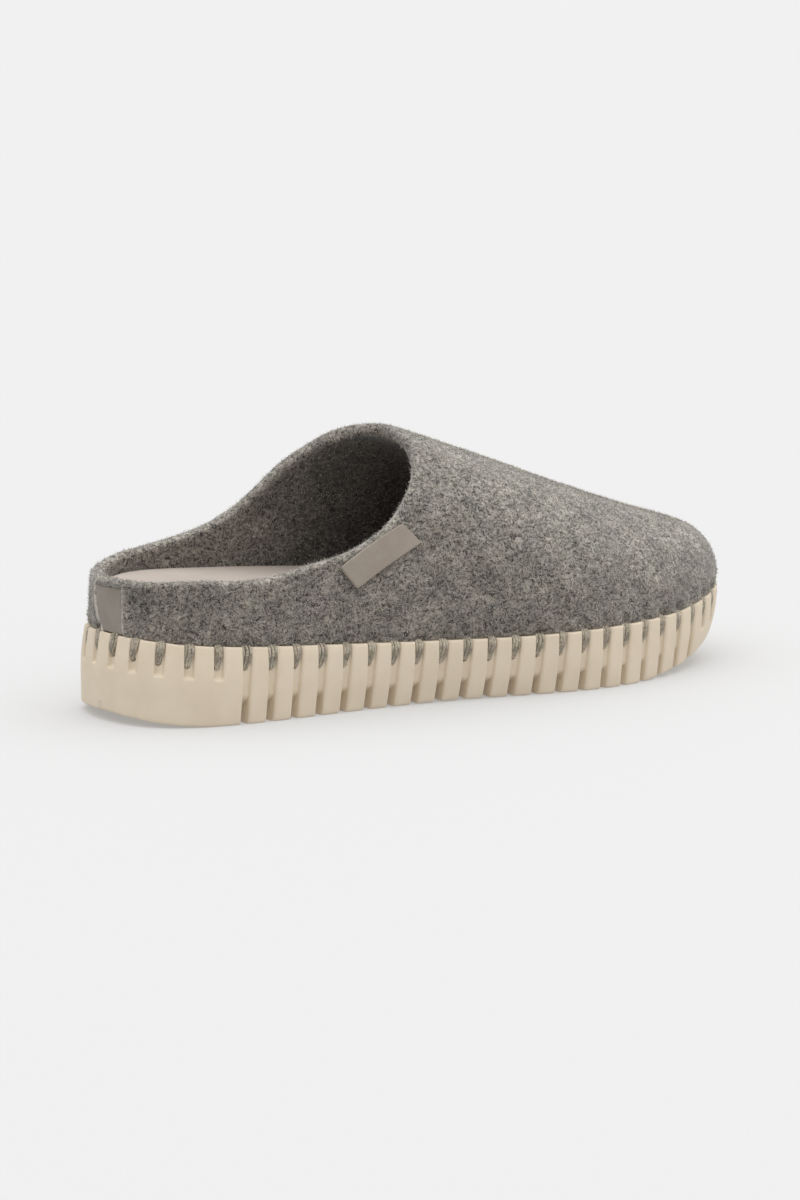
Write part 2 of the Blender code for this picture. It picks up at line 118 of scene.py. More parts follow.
def smooth(table: tuple[Height, ...], x: np.ndarray | float) -> np.ndarray:
    """Monotone curve through a height table, held level past its ends.

    Args:
        table: Rows in order of distance.
        x: Distances from the heel.

    Returns:
        The heights at those distances.
    """
    xs = np.array([row.x for row in table])
    zs = np.array([row.z for row in table])
    step = np.diff(xs)
    slope = np.diff(zs) / step
    tangent = np.zeros(len(xs))
    for i in range(1, len(xs) - 1):
        if slope[i - 1] * slope[i] > 0.0:
            before = 2.0 * step[i] + step[i - 1]
            after = step[i] + 2.0 * step[i - 1]
            tangent[i] = (before + after) / (before / slope[i - 1] + after / slope[i])
    tangent[0] = slope[0]
    tangent[-1] = slope[-1]
    at = np.clip(np.asarray(x, dtype=float), xs[0], xs[-1])
    i = np.clip(np.searchsorted(xs, at) - 1, 0, len(step) - 1)
    t = (at - xs[i]) / step[i]
    rest = 1.0 - t
    ends = zs[i] * (1.0 + 2.0 * t) * rest ** 2 + zs[i + 1] * (3.0 - 2.0 * t) * t ** 2
    return ends + step[i] * (tangent[i] * t * rest ** 2 - tangent[i + 1] * rest * t ** 2)


def fade(value: np.ndarray, low: float, high: float) -> np.ndarray:
    """Smooth step from 0 at low to 1 at high."""
    t = np.clip((value - low) / (high - low), 0.0, 1.0)
    return t * t * (3.0 - 2.0 * t)


def unit(vectors: np.ndarray) -> np.ndarray:
    """Vectors scaled to length one."""
    return vectors / np.linalg.norm(vectors, axis=-1)[..., None]


class PlanHalf(NamedTuple):
    """One side of the sole plan from heel tip to toe tip, by share of its arc."""

    share: np.ndarray
    point: np.ndarray
    normal: np.ndarray
    length: float


@dataclass(frozen=True)
class LastForm:
    """The slipper's form: sole plan, sole heights, felt shell and collar."""

    length: float = 259.0
    heel_tip: tuple[float, float] = (0.0, 0.0)
    toe_tip: tuple[float, float] = (259.0, 2.5)
    plan: tuple[PlanRow, ...] = (
        PlanRow(4.0, -19.0, 19.0), PlanRow(14.0, -30.0, 29.5), PlanRow(32.0, -36.5, 35.0),
        PlanRow(60.0, -39.0, 35.5), PlanRow(95.0, -41.5, 33.5), PlanRow(128.0, -47.0, 34.0),
        PlanRow(158.0, -53.0, 38.5), PlanRow(186.0, -54.0, 43.5), PlanRow(211.0, -49.0, 45.8),
        PlanRow(229.5, -42.0, 42.5), PlanRow(245.0, -32.0, 34.0), PlanRow(254.0, -21.5, 23.5),
    )
    spline_steps: int = 40
    sole_top: tuple[Height, ...] = (
        Height(0.0, 31.0), Height(20.0, 28.8), Height(60.0, 25.8), Height(110.0, 23.0),
        Height(150.0, 22.0), Height(195.0, 22.4), Height(215.0, 22.9), Height(232.0, 24.5),
        Height(247.0, 26.8), Height(259.0, 28.8),
    )
    sole_bottom: tuple[Height, ...] = (
        Height(0.0, 3.6), Height(12.0, 1.3), Height(28.0, 0.0), Height(95.0, 0.0), Height(122.0, 0.4),
        Height(150.0, 0.0), Height(195.0, 0.0), Height(218.0, 2.1), Height(238.0, 6.4), Height(259.0, 12.0),
    )
    bottom_tuck: tuple[Height, ...] = (
        Height(0.0, 0.0), Height(20.0, 0.6), Height(65.0, 1.2), Height(100.0, 2.8), Height(140.0, 3.5),
        Height(160.0, 2.6), Height(178.0, 1.2), Height(195.0, 0.7), Height(220.0, 1.4), Height(238.0, 2.2),
        Height(259.0, 3.4),
    )
    widest_share: tuple[Height, ...] = (
        Height(0.0, 0.42), Height(25.0, 0.5), Height(60.0, 0.85), Height(259.0, 0.9),
    )
    top_tuck: tuple[Height, ...] = (
        Height(0.0, 1.7), Height(45.0, 1.0), Height(100.0, 0.3), Height(259.0, 0.0),
    )
    fit_gap: float = 0.3
    wall: float = 4.6
    shell_inset: tuple[Height, ...] = (
        Height(0.0, 3.3), Height(40.0, 2.0), Height(120.0, 1.5), Height(220.0, 1.0), Height(259.0, 0.7),
    )
    roof: tuple[Height, ...] = (
        Height(0.0, 124.0), Height(60.0, 116.0), Height(115.5, 96.4), Height(131.5, 90.8),
        Height(173.5, 75.2), Height(219.0, 58.5), Height(240.0, 51.7), Height(252.0, 48.0),
        Height(259.0, 45.8),
    )
    spine_side: tuple[Height, ...] = (
        Height(0.0, 0.0), Height(60.0, -2.0), Height(120.0, -1.0), Height(190.0, 0.5), Height(226.0, 2.5),
    )
    squareness: tuple[Height, ...] = (
        Height(0.0, 2.3), Height(110.0, 2.15), Height(190.0, 2.3), Height(226.0, 3.2), Height(246.0, 4.8),
        Height(259.0, 5.8),
    )
    rib_lean: tuple[Height, ...] = (
        Height(38.0, 0.0), Height(100.0, 16.0), Height(145.0, 24.0), Height(190.0, 13.0),
        Height(226.0, 0.0),
    )
    heel_pole: float = 38.0
    throat: float = 120.0
    throat_share: float = 38.0 / 70.0
    toe_pole: float = 226.0
    collar_outer: tuple[Height, ...] = (
        Height(2.5, 48.6), Height(9.0, 50.4), Height(23.0, 51.3), Height(40.0, 50.4),
        Height(49.0, 50.8), Height(57.0, 52.2), Height(66.0, 54.0), Height(75.0, 55.6),
        Height(86.0, 58.8), Height(93.0, 62.2), Height(99.5, 66.3), Height(107.0, 73.3),
        Height(112.0, 78.9), Height(116.3, 85.3), Height(118.8, 90.5), Height(120.0, 95.1),
    )
    collar_inner: tuple[Height, ...] = (
        Height(2.5, 48.6), Height(12.0, 50.1), Height(24.0, 52.4), Height(35.0, 54.0),
        Height(46.0, 55.4), Height(56.0, 57.5), Height(65.0, 60.5), Height(73.0, 65.2),
        Height(83.0, 72.8), Height(91.0, 80.4), Height(100.0, 86.6), Height(106.0, 91.0),
        Height(113.5, 94.1), Height(118.0, 94.9), Height(120.0, 95.1),
    )
    trim_outer: tuple[Height, ...] = (Height(0.0, 1.4), Height(40.0, 2.1), Height(120.0, 2.1))
    trim_inner: tuple[Height, ...] = (
        Height(0.0, 1.5), Height(35.0, 1.7), Height(60.0, 1.5), Height(76.0, 1.8), Height(88.0, 0.4),
        Height(100.0, 0.15), Height(113.0, 0.6),
    )
    throat_trim: float = 2.1
    footbed_top: tuple[Height, ...] = (
        Height(0.0, 45.5), Height(25.0, 46.4), Height(60.0, 44.7), Height(105.0, 41.3), Height(150.0, 36.1),
        Height(190.0, 33.2), Height(228.0, 31.8), Height(259.0, 35.8),
    )
    root_steps: int = 40

    def plan_curve(self) -> np.ndarray:
        """Dense closed cubic curve through the plan rows, centred side to side."""
        outer = [(row.x, row.outer) for row in self.plan]
        inner = [(row.x, row.inner) for row in reversed(self.plan)]
        points = np.array([self.heel_tip, *outer, self.toe_tip, *inner])
        count = len(points)
        knot = np.sqrt(np.linalg.norm(np.roll(points, -1, 0) - points, axis=1))
        matrix = np.zeros((count, count))
        right = np.zeros((count, 2))
        for i in range(count):
            before, after = knot[i - 1], knot[i]
            following = (i + 1) % count
            matrix[i, i - 1] += after
            matrix[i, i] += 2.0 * (before + after)
            matrix[i, following] += before
            ahead = before / after * (points[following] - points[i])
            behind = after / before * (points[i] - points[i - 1])
            right[i] = 3.0 * (ahead + behind)
        tangent = np.linalg.solve(matrix, right)
        t = np.linspace(0.0, 1.0, self.spline_steps, endpoint=False)[:, None]
        rest = 1.0 - t
        pieces = []
        for i in range(count):
            following = (i + 1) % count
            start = points[i] * (1.0 + 2.0 * t) * rest ** 2
            end = points[following] * (3.0 - 2.0 * t) * t ** 2
            bend = tangent[i] * t * rest ** 2 - tangent[following] * rest * t ** 2
            pieces.append(start + end + knot[i] * bend)
        curve = np.concatenate(pieces)
        curve[:, 1] -= 0.5 * (curve[:, 1].min() + curve[:, 1].max())
        return curve

    @cached_property
    def halves(self) -> tuple[PlanHalf, PlanHalf]:
        """Outer and inner halves of the sole plan with outward normals."""
        curve = self.plan_curve()
        tangent = unit(np.roll(curve, -1, 0) - np.roll(curve, 1, 0))
        normal = np.stack([tangent[:, 1], -tangent[:, 0]], axis=1)
        toe = (len(self.plan) + 1) * self.spline_steps
        closed = np.vstack([curve, curve[:1]])
        normals = np.vstack([normal, normal[:1]])
        outer = (closed[:toe + 1], normals[:toe + 1])
        inner = (closed[toe:][::-1], normals[toe:][::-1])
        made = []
        for part, facing in (outer, inner):
            run = np.concatenate([[0.0], np.cumsum(np.linalg.norm(np.diff(part, axis=0), axis=1))])
            made.append(PlanHalf(run / run[-1], part, facing, float(run[-1])))
        return made[0], made[1]

    @cached_property
    def centre_line(self) -> float:
        """Side position of the heel tip."""
        return float(self.halves[0].point[0, 1])

    @cached_property
    def lean_scale(self) -> float:
        """Factor on the ribs' lean that brings one pair of ribs together exactly at the throat."""
        middle = self.rib_middle(np.array(self.throat_share))
        return float((middle - self.throat) / smooth(self.rib_lean, middle))

    def reach(self, side: Side) -> float:
        """Arc length of one side of the plan."""
        return self.halves[side.value].length

    def plan_at(self, side: Side, share: np.ndarray, inset: np.ndarray) -> np.ndarray:
        """Plan points of one side at shares of its arc, moved in from the sole's edge."""
        half = self.halves[side.value]
        point = np.stack([np.interp(share, half.share, half.point[:, i]) for i in (0, 1)], axis=-1)
        return point - self.facing(side, share) * np.asarray(inset, dtype=float)[..., None]

    def facing(self, side: Side, share: np.ndarray) -> np.ndarray:
        """Outward plan normals of one side at shares of its arc."""
        half = self.halves[side.value]
        return unit(np.stack([np.interp(share, half.share, half.normal[:, i]) for i in (0, 1)], axis=-1))

    def rib_middle(self, share: np.ndarray) -> np.ndarray:
        """Distance along the shoe midway between the feet of both sides' ribs."""
        feet = [self.plan_at(side, share, 0.0 * share)[..., 0] for side in Side]
        return 0.5 * (feet[0] + feet[1])

    def spine_x(self, share: np.ndarray) -> np.ndarray:
        """Distance along the shoe where the ribs of both sides meet."""
        middle = self.rib_middle(share)
        drawn_back = middle - self.lean_scale * smooth(self.rib_lean, middle)
        return np.clip(drawn_back, self.heel_pole, self.toe_pole)

    def shell(
        self, side: Side, share: np.ndarray, angle: np.ndarray, offset: np.ndarray | float
    ) -> np.ndarray:
        """Points of the shell's form, whose ribs spring from the sole and close over the spine.

        Args:
            side: Side of the shoe.
            share: Shares of the plan's arc.
            angle: Rib angles, a quarter turn at the sole and zero on the spine.
            offset: Depth below the outer face.

        Returns:
            Points with the distance from the heel, the side position and the height.
        """
        edge = self.plan_at(side, share, 0.0 * share)
        base = self.plan_at(side, share, smooth(self.shell_inset, edge[..., 0]) + offset)
        top = self.spine_x(share)
        fall = (smooth(self.roof, top - 1.0) - smooth(self.roof, top + 1.0)) / 2.0
        slant = np.sqrt(1.0 + fall ** 2)
        peak_x = top - offset * fall / slant
        peak_y = self.centre_line + smooth(self.spine_side, top)
        square = smooth(self.squareness, base[..., 0])
        reach = np.clip(np.sin(angle), 0.0, 1.0) ** (2.0 / square)
        x = peak_x + (base[..., 0] - peak_x) * reach
        y = peak_y + (base[..., 1] - peak_y) * reach
        floor = smooth(self.sole_top, base[..., 0]) + self.fit_gap
        roof = smooth(self.roof, x) - offset * slant
        z = floor + (roof - floor) * np.cos(angle)
        return np.stack(np.broadcast_arrays(x, y, z), axis=-1)

    def collar(self, side: Side) -> tuple[Height, ...]:
        """Collar line of one side as seen from the side, drawn in to leave room for the rounded rim."""
        points = np.array(self.collar_outer if side is Side.OUTER else self.collar_inner)
        trim = smooth(self.trim_outer if side is Side.OUTER else self.trim_inner, points[:, 0])[:, None]
        way = unit(np.gradient(points, axis=0))
        moved = points + trim * np.stack([way[:, 1], -way[:, 0]], axis=1)
        throat = self.throat + self.throat_trim
        moved[-1] = (throat, float(smooth(self.roof, throat)))
        return tuple(Height(x, z) for x, z in moved)

    def collar_angle(self, side: Side, share: np.ndarray) -> np.ndarray:
        """Rib angles at which the ribs reach the drawn-in collar."""
        table = self.collar(side)
        low = np.zeros_like(share)
        high = np.full_like(share, QUARTER_TURN)
        for _ in range(self.root_steps):
            middle = 0.5 * (low + high)
            point = self.shell(side, share, middle, 0.0)
            above = point[..., 2] > smooth(table, point[..., 0])
            low = np.where(above, middle, low)
            high = np.where(above, high, middle)
        return 0.5 * (low + high)

    def share_at_spine(self, x: float) -> float:
        """Share whose ribs meet on the spine at one distance from the heel."""
        low, high = 0.0, 1.0
        for _ in range(self.root_steps):
            middle = 0.5 * (low + high)
            if float(self.spine_x(np.array(middle))) < x:
                low = middle
            else:
                high = middle
        return 0.5 * (low + high)


@dataclass(frozen=True)
class GrooveLine:
    """Places of the sole's grooves and of the stitches that lie in them."""

    form: LastForm
    outer: tuple[GrooveRow, ...] = (
        GrooveRow(1, 6.9), GrooveRow(6, 60.6), GrooveRow(11, 110.5), GrooveRow(22, 213.4),
        GrooveRow(26, 252.8), GrooveRow(32, 311.7),
    )
    inner: tuple[GrooveRow, ...] = (
        GrooveRow(1, 4.0), GrooveRow(6, 57.8), GrooveRow(11, 109.0), GrooveRow(22, 213.4),
        GrooveRow(26, 252.8), GrooveRow(32, 311.7),
    )
    first_full: int = 6
    last_full: int = 26
    last: int = 32
    lean: float = 0.055
    upright: int = 3

    def share(self, side: Side, number: float) -> float:
        """Share of one side's arc at a groove number, which may lie between two grooves."""
        rows = self.outer if side is Side.OUTER else self.inner
        arc = float(np.interp(number, [row.number for row in rows], [row.arc for row in rows]))
        return min(arc / self.form.reach(Side.OUTER), 1.0)

    def leaning(self, number: int) -> float:
        """Shift of a groove towards the heel for each millimetre down the wall."""
        return self.lean * min(1.0, min(number, self.last - number) / self.upright)

    def is_full(self, number: int) -> bool:
        """Whether a groove runs down to the floor."""
        return self.first_full <= number <= self.last_full

    def places(self) -> list[tuple[Side, float]]:
        """Side and share of every groove, the one at the toe tip once."""
        outer = [(Side.OUTER, self.share(Side.OUTER, number)) for number in range(1, self.last + 1)]
        inner = [(Side.INNER, self.share(Side.INNER, number)) for number in range(1, self.last)]
        return outer + inner

    @cached_property
    def arcs(self) -> np.ndarray:
        """Signed arc of every groove from the heel, outer side positive."""
        signs = {Side.OUTER: 1.0, Side.INNER: -1.0}
        return np.sort([signs[side] * share * self.form.reach(side) for side, share in self.places()])

    def nearest(self, arc: np.ndarray) -> np.ndarray:
        """Distance from each signed arc to the nearest groove."""
        after = np.clip(np.searchsorted(self.arcs, arc), 1, len(self.arcs) - 1)
        return np.minimum(np.abs(arc - self.arcs[after - 1]), np.abs(arc - self.arcs[after]))


class NodeSheet:
    """Places nodes in one tree and joins their sockets."""

    def __init__(self, tree: bpy.types.NodeTree) -> None:
        """Start on a tree."""
        self.tree = tree

    @staticmethod
    def find(sockets: bpy.types.bpy_prop_collection, key: str | int) -> bpy.types.NodeSocket:
        """Socket by place, identifier or name."""
        if isinstance(key, int):
            return sockets[key]
        exact = [socket for socket in sockets if socket.identifier == key]
        return exact[0] if exact else sockets[key]

    def fill(self, node: bpy.types.Node, key: str | int, value: object) -> None:
        """Link a socket to an input, or set the input's own value."""
        socket = self.find(node.inputs, key)
        if isinstance(value, bpy.types.NodeSocket):
            self.tree.links.new(value, socket)
        else:
            socket.default_value = value

    def add(
        self, kind: str, inputs: dict[str | int, object] | None = None, **settings: object
    ) -> bpy.types.Node:
        """Place a node, set its options and fill its inputs.

        Args:
            kind: Blender's name of the node type.
            inputs: Values or sockets by input place, identifier or name.
            **settings: Options of the node.

        Returns:
            The node.
        """
        node = self.tree.nodes.new(kind)
        for name, value in settings.items():
            setattr(node, name, value)
        for key, value in (inputs or {}).items():
            self.fill(node, key, value)
        return node

    def math(self, operation: str, *values: object) -> bpy.types.NodeSocket:
        """Result of one arithmetic step."""
        return self.add("ShaderNodeMath", dict(enumerate(values)), operation=operation).outputs[0]

    def vector(self, operation: str, *values: object) -> bpy.types.NodeSocket:
        """Result of one vector step."""
        return self.add("ShaderNodeVectorMath", dict(enumerate(values)), operation=operation).outputs[0]

    def scaled(self, vector: object, factor: object) -> bpy.types.NodeSocket:
        """A vector times a number."""
        return self.add("ShaderNodeVectorMath", {0: vector, "Scale": factor}, operation="SCALE").outputs[0]

    def ramp(
        self, value: object, low: object, high: object, start: object, end: object, soft: bool = True
    ) -> bpy.types.NodeSocket:
        """Value mapped from one range to another and held at the ends.

        Args:
            value: What is mapped.
            low: Value that gives the start.
            high: Value that gives the end.
            start: Result at low.
            end: Result at high.
            soft: Whether both ends are eased.

        Returns:
            The mapped value.
        """
        kind = "SMOOTHSTEP" if soft else "LINEAR"
        inputs = {0: value, 1: low, 2: high, 3: start, 4: end}
        return self.add("ShaderNodeMapRange", inputs, interpolation_type=kind).outputs[0]

    def noise(self, vector: object, scale: object, detail: float, roughness: float) -> bpy.types.Node:
        """Noise texture over a vector."""
        inputs = {"Vector": vector, "Scale": scale, "Detail": detail, "Roughness": roughness}
        return self.add("ShaderNodeTexNoise", inputs)

    def blend(
        self, factor: object, first: object, second: object, mode: str = "MIX"
    ) -> bpy.types.NodeSocket:
        """Colour mixed from two colours."""
        inputs = {"Factor_Float": factor, "A_Color": first, "B_Color": second}
        node = self.add("ShaderNodeMix", inputs, data_type="RGBA", blend_type=mode)
        return self.find(node.outputs, "Result_Color")


class GrowthTree(NodeSheet):
    """A Geometry Nodes tree whose named inputs are filled from a piece's sizes."""

    def __init__(self, name: str) -> None:
        """Make an empty tree with a geometry input and output."""
        super().__init__(bpy.data.node_groups.new(name, "GeometryNodeTree"))
        self.tree.interface.new_socket("Geometry", in_out="INPUT", socket_type="NodeSocketGeometry")
        self.tree.interface.new_socket("Geometry", in_out="OUTPUT", socket_type="NodeSocketGeometry")
        self.entry = self.tree.nodes.new("NodeGroupInput")
        self.exit = self.tree.nodes.new("NodeGroupOutput")
        self.values: dict[str, object] = {}

    def size(self, name: str, value: object, kind: str = "NodeSocketFloat") -> bpy.types.NodeSocket:
        """Add a named input with the value that the piece gives it."""
        item = self.tree.interface.new_socket(name, in_out="INPUT", socket_type=kind)
        self.values[item.identifier] = value
        return self.find(self.entry.outputs, item.identifier)

    def attribute(self, name: str, kind: str = "FLOAT") -> bpy.types.NodeSocket:
        """Named attribute of the geometry."""
        node = self.add("GeometryNodeInputNamedAttribute", {"Name": name}, data_type=kind)
        return next(socket for socket in node.outputs if socket.enabled)

    def store(
        self, geometry: bpy.types.NodeSocket, name: str, value: object, domain: str = "POINT"
    ) -> bpy.types.NodeSocket:
        """Geometry with one more named number on it."""
        inputs = {"Geometry": geometry, "Name": name, "Value": value}
        return self.add("GeometryNodeStoreNamedAttribute", inputs, domain=domain).outputs[0]

    def random(self, low: object, high: object, seed: object) -> bpy.types.NodeSocket:
        """Random number for each element, from a fixed seed."""
        inputs = {"Min_001": low, "Max_001": high, "Seed": seed}
        return self.find(self.add("FunctionNodeRandomValue", inputs).outputs, "Value_001")

    def rotate(
        self, rotation: bpy.types.NodeSocket, axis: int, angle: bpy.types.NodeSocket
    ) -> bpy.types.NodeSocket:
        """Rotation turned further about one of its own axes."""
        euler = self.add("ShaderNodeCombineXYZ", {axis: angle}).outputs[0]
        step = self.add("FunctionNodeEulerToRotation", {0: euler}).outputs[0]
        inputs = {0: rotation, 1: step}
        return self.add("FunctionNodeRotateRotation", inputs, rotation_space="LOCAL").outputs[0]

    def close(self, geometry: bpy.types.NodeSocket, material: bpy.types.Material) -> None:
        """Realize all instances, give them the material and end the tree."""
        real = self.add("GeometryNodeRealizeInstances", {"Geometry": geometry}).outputs[0]
        round_shaded = self.add("GeometryNodeSetShadeSmooth", {"Geometry": real}).outputs[0]
        finish = self.size("Material", material, "NodeSocketMaterial")
        dressed = self.add("GeometryNodeSetMaterial", {"Geometry": round_shaded, "Material": finish})
        self.tree.links.new(dressed.outputs[0], self.exit.inputs[0])

    def grow(self, base: bpy.types.Object, name: str, keep: tuple[str, ...] = ()) -> bpy.types.Object:
        """Run the tree on a base object and turn the result into a plain mesh piece.

        Args:
            base: Object whose mesh goes into the tree. It loses the modifier again.
            name: Name of the new piece.
            keep: Attributes that the finish still reads.

        Returns:
            The new piece.
        """
        modifier = base.modifiers.new(self.tree.name, "NODES")
        modifier.node_group = self.tree
        for identifier, value in self.values.items():
            modifier[identifier] = value
        graph = bpy.context.evaluated_depsgraph_get()
        mesh = bpy.data.meshes.new_from_object(
            base.evaluated_get(graph), preserve_all_data_layers=True, depsgraph=graph
        )
        base.modifiers.remove(modifier)
        mesh.name = name
        kept = {"position", "sharp_face", "material_index", *keep}
        for spare in [layer.name for layer in mesh.attributes]:
            if spare not in kept and not spare.startswith("."):
                mesh.attributes.remove(mesh.attributes[spare])
        piece = bpy.data.objects.new(name, mesh)
        bpy.context.scene.collection.objects.link(piece)
        return piece


class MeshDraft:
    """Points and faces gathered in millimetres before they become a mesh."""

    def __init__(self, length: float) -> None:
        """Start empty; the length moves heel distances to the middle of the shoe."""
        self.middle = 0.5 * length
        self.points: list[np.ndarray] = []
        self.faces: list[tuple[int, ...]] = []
        self.count = 0

    def put(self, points: np.ndarray) -> np.ndarray:
        """Add points and return their numbers in the same layout."""
        flat = points.reshape(-1, 3)
        numbers = np.arange(self.count, self.count + len(flat)).reshape(points.shape[:-1])
        self.points.append(flat)
        self.count += len(flat)
        return numbers

    def strip(self, first: np.ndarray, second: np.ndarray, closed: bool) -> None:
        """Join two rows of points with faces, skipping corners that coincide."""
        rows = [first, second]
        if closed:
            rows = [np.append(row, row[0]) for row in rows]
        for i in range(len(rows[0]) - 1):
            corners = (rows[0][i], rows[0][i + 1], rows[1][i + 1], rows[1][i])
            face = tuple(dict.fromkeys(int(corner) for corner in corners))
            if len(face) > 2:
                self.faces.append(face)

    def sheet(self, grid: np.ndarray, closed: bool) -> None:
        """Join neighbouring rows of a grid of points."""
        for first, second in zip(grid[:-1], grid[1:]):
            self.strip(first, second, closed)

    def placed(self) -> np.ndarray:
        """All points in metres in the row frame."""
        points = np.concatenate(self.points)
        return (points - (self.middle, 0.0, 0.0)) * MM

    def build(self, name: str, layers: dict[str, np.ndarray] | None = None) -> bpy.types.Object:
        """Make the object, with faces turned outward and shaded smooth.

        Args:
            name: Name of the object.
            layers: Numbers or vectors for each point, by attribute name.

        Returns:
            The object, linked to the scene.
        """
        mesh = bpy.data.meshes.new(name)
        used = np.unique([corner for face in self.faces for corner in face])
        renumbered = np.zeros(self.count, dtype=int)
        renumbered[used] = np.arange(len(used))
        faces = [tuple(int(renumbered[corner]) for corner in face) for face in self.faces]
        mesh.from_pydata(self.placed()[used].tolist(), [], faces)
        work = bmesh.new()
        work.from_mesh(mesh)
        bmesh.ops.recalc_face_normals(work, faces=work.faces)
        work.to_mesh(mesh)
        work.free()
        for key, values in (layers or {}).items():
            vector = values.ndim > 1
            layer = mesh.attributes.new(key, "FLOAT_VECTOR" if vector else "FLOAT", "POINT")
            kept = np.ascontiguousarray(values[used], np.float32).ravel()
            layer.data.foreach_set("vector" if vector else "value", kept)
        mesh.shade_smooth()
        made = bpy.data.objects.new(name, mesh)
        bpy.context.scene.collection.objects.link(made)
        return made


def register(piece: bpy.types.Object, slot: Slot, *nodes: str) -> bpy.types.Object:
    """Let a piece ride on the shoe's body, hide the solids it stands for, and report its triangle count.

    Args:
        piece: Finished piece.
        slot: Slot of the record that it takes its finish from. Not used.
        *nodes: Names of the solids that it replaces.

    Returns:
        The same piece.
    """
    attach(piece, BODY)
    if nodes:
        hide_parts(*nodes)
    piece.data.calc_loop_triangles()
    LOG.info("%s: %d triangles", piece.name, len(piece.data.loop_triangles))
    return piece


class EffectGroup(NodeSheet):
    """A shader node group that several finishes share."""

    def __init__(self, name: str, inputs: dict[str, float], outputs: dict[str, str]) -> None:
        """Make the group's sockets; every group reads a vector.

        Args:
            name: Name of the group.
            inputs: Default of each number that the group takes.
            outputs: Socket type of each result.
        """
        super().__init__(bpy.data.node_groups.new(name, "ShaderNodeTree"))
        face = self.tree.interface
        face.new_socket("Vector", in_out="INPUT", socket_type="NodeSocketVector")
        for key, value in inputs.items():
            face.new_socket(key, in_out="INPUT", socket_type="NodeSocketFloat").default_value = value
        for key, kind in outputs.items():
            face.new_socket(key, in_out="OUTPUT", socket_type=kind)
        self.entry = self.tree.nodes.new("NodeGroupInput").outputs
        self.exit = self.tree.nodes.new("NodeGroupOutput")

    def give(self, **results: bpy.types.NodeSocket) -> bpy.types.NodeTree:
        """Join results to the group's outputs of the same names."""
        for key, socket in results.items():
            self.tree.links.new(socket, self.exit.inputs[key])
        return self.tree


def wool_fleck() -> bpy.types.NodeTree:
    """Short light and dark fibres that cross in several directions."""
    results = {"Fleck": "NodeSocketFloat", "Loft": "NodeSocketFloat"}
    group = EffectGroup("wool_fleck", {"Size": 0.0008}, results)
    vector = group.entry["Vector"]
    scale = group.math("DIVIDE", 1.0, group.entry["Size"])
    curl = group.noise(vector, group.math("MULTIPLY", scale, 0.3), 1.0, 0.5).outputs["Color"]
    span = group.math("MULTIPLY", group.entry["Size"], 5.0)
    drift = group.scaled(group.vector("SUBTRACT", curl, NOISE_MIDDLE), span)
    bent = group.vector("ADD", vector, drift)
    turns = ((0.5, 0.2, 0.9), (1.3, 0.7, -0.5))
    stretches = ((1.0, 0.2, 0.55), (0.2, 1.0, 0.6))
    layers = []
    for turn, stretch in zip(turns, stretches):
        lay = {"Vector": bent, "Rotation": turn, "Scale": stretch}
        laid = group.add("ShaderNodeMapping", lay).outputs[0]
        layers.append(group.noise(laid, scale, 2.0, 0.62).outputs["Fac"])
    grain = group.noise(vector, group.math("MULTIPLY", scale, 1.5), 2.0, 0.6).outputs["Fac"]
    pair = group.math("ADD", layers[0], layers[1])
    total = group.math("MULTIPLY_ADD", grain, 0.8, pair)
    fleck = group.ramp(total, 1.15, 1.65, 0.0, 1.0, soft=False)
    loft = group.math("MULTIPLY_ADD", grain, 0.5, group.math("MULTIPLY", pair, 0.5))
    return group.give(Fleck=fleck, Loft=loft)


def melange_patch() -> bpy.types.NodeTree:
    """Soft patches of wool whose shade and hue wander."""
    results = {"Patch": "NodeSocketFloat", "Tint": "NodeSocketColor"}
    group = EffectGroup("melange_patch", {"Size": 0.008, "Hue": 0.16}, results)
    vector = group.entry["Vector"]
    scale = group.math("DIVIDE", 1.0, group.entry["Size"])
    wander = group.noise(vector, scale, 2.0, 0.55)
    shift = group.vector("SUBTRACT", wander.outputs["Color"], NOISE_MIDDLE)
    tint = group.vector("ADD", group.scaled(shift, group.entry["Hue"]), (1.0, 1.0, 1.0))
    broad = group.noise(vector, group.math("MULTIPLY", scale, 0.7), 3.0, 0.62).outputs["Fac"]
    patch = group.ramp(broad, 0.3, 0.7, 0.0, 1.0, soft=False)
    return group.give(Patch=patch, Tint=tint)


def fine_grain() -> bpy.types.NodeTree:
    """Pebbled grain of leather, suede and moulded rubber."""
    results = {"Height": "NodeSocketFloat", "Tone": "NodeSocketFloat"}
    group = EffectGroup("fine_grain", {"Size": 0.0008, "Pebble": 0.5}, results)
    vector = group.entry["Vector"]
    scale = group.math("DIVIDE", 1.0, group.entry["Size"])
    cells = group.add("ShaderNodeTexVoronoi", {"Vector": vector, "Scale": scale}, feature="SMOOTH_F1")
    dust = group.noise(vector, group.math("MULTIPLY", scale, 1.7), 3.0, 0.6).outputs["Fac"]
    pebble = group.math("MULTIPLY", cells.outputs["Distance"], group.entry["Pebble"])
    plain = group.math("MULTIPLY", dust, group.math("SUBTRACT", 1.0, group.entry["Pebble"]))
    broad = group.noise(vector, group.math("MULTIPLY", scale, 0.05), 3.0, 0.55).outputs["Fac"]
    return group.give(Height=group.math("ADD", pebble, plain), Tone=group.ramp(broad, 0.3, 0.7, 0.0, 1.0))


class Effect(Enum):
    """The shared shader groups."""

    FLECK = wool_fleck()
    PATCH = melange_patch()
    GRAIN = fine_grain()


Colour = tuple[float, float, float, float]


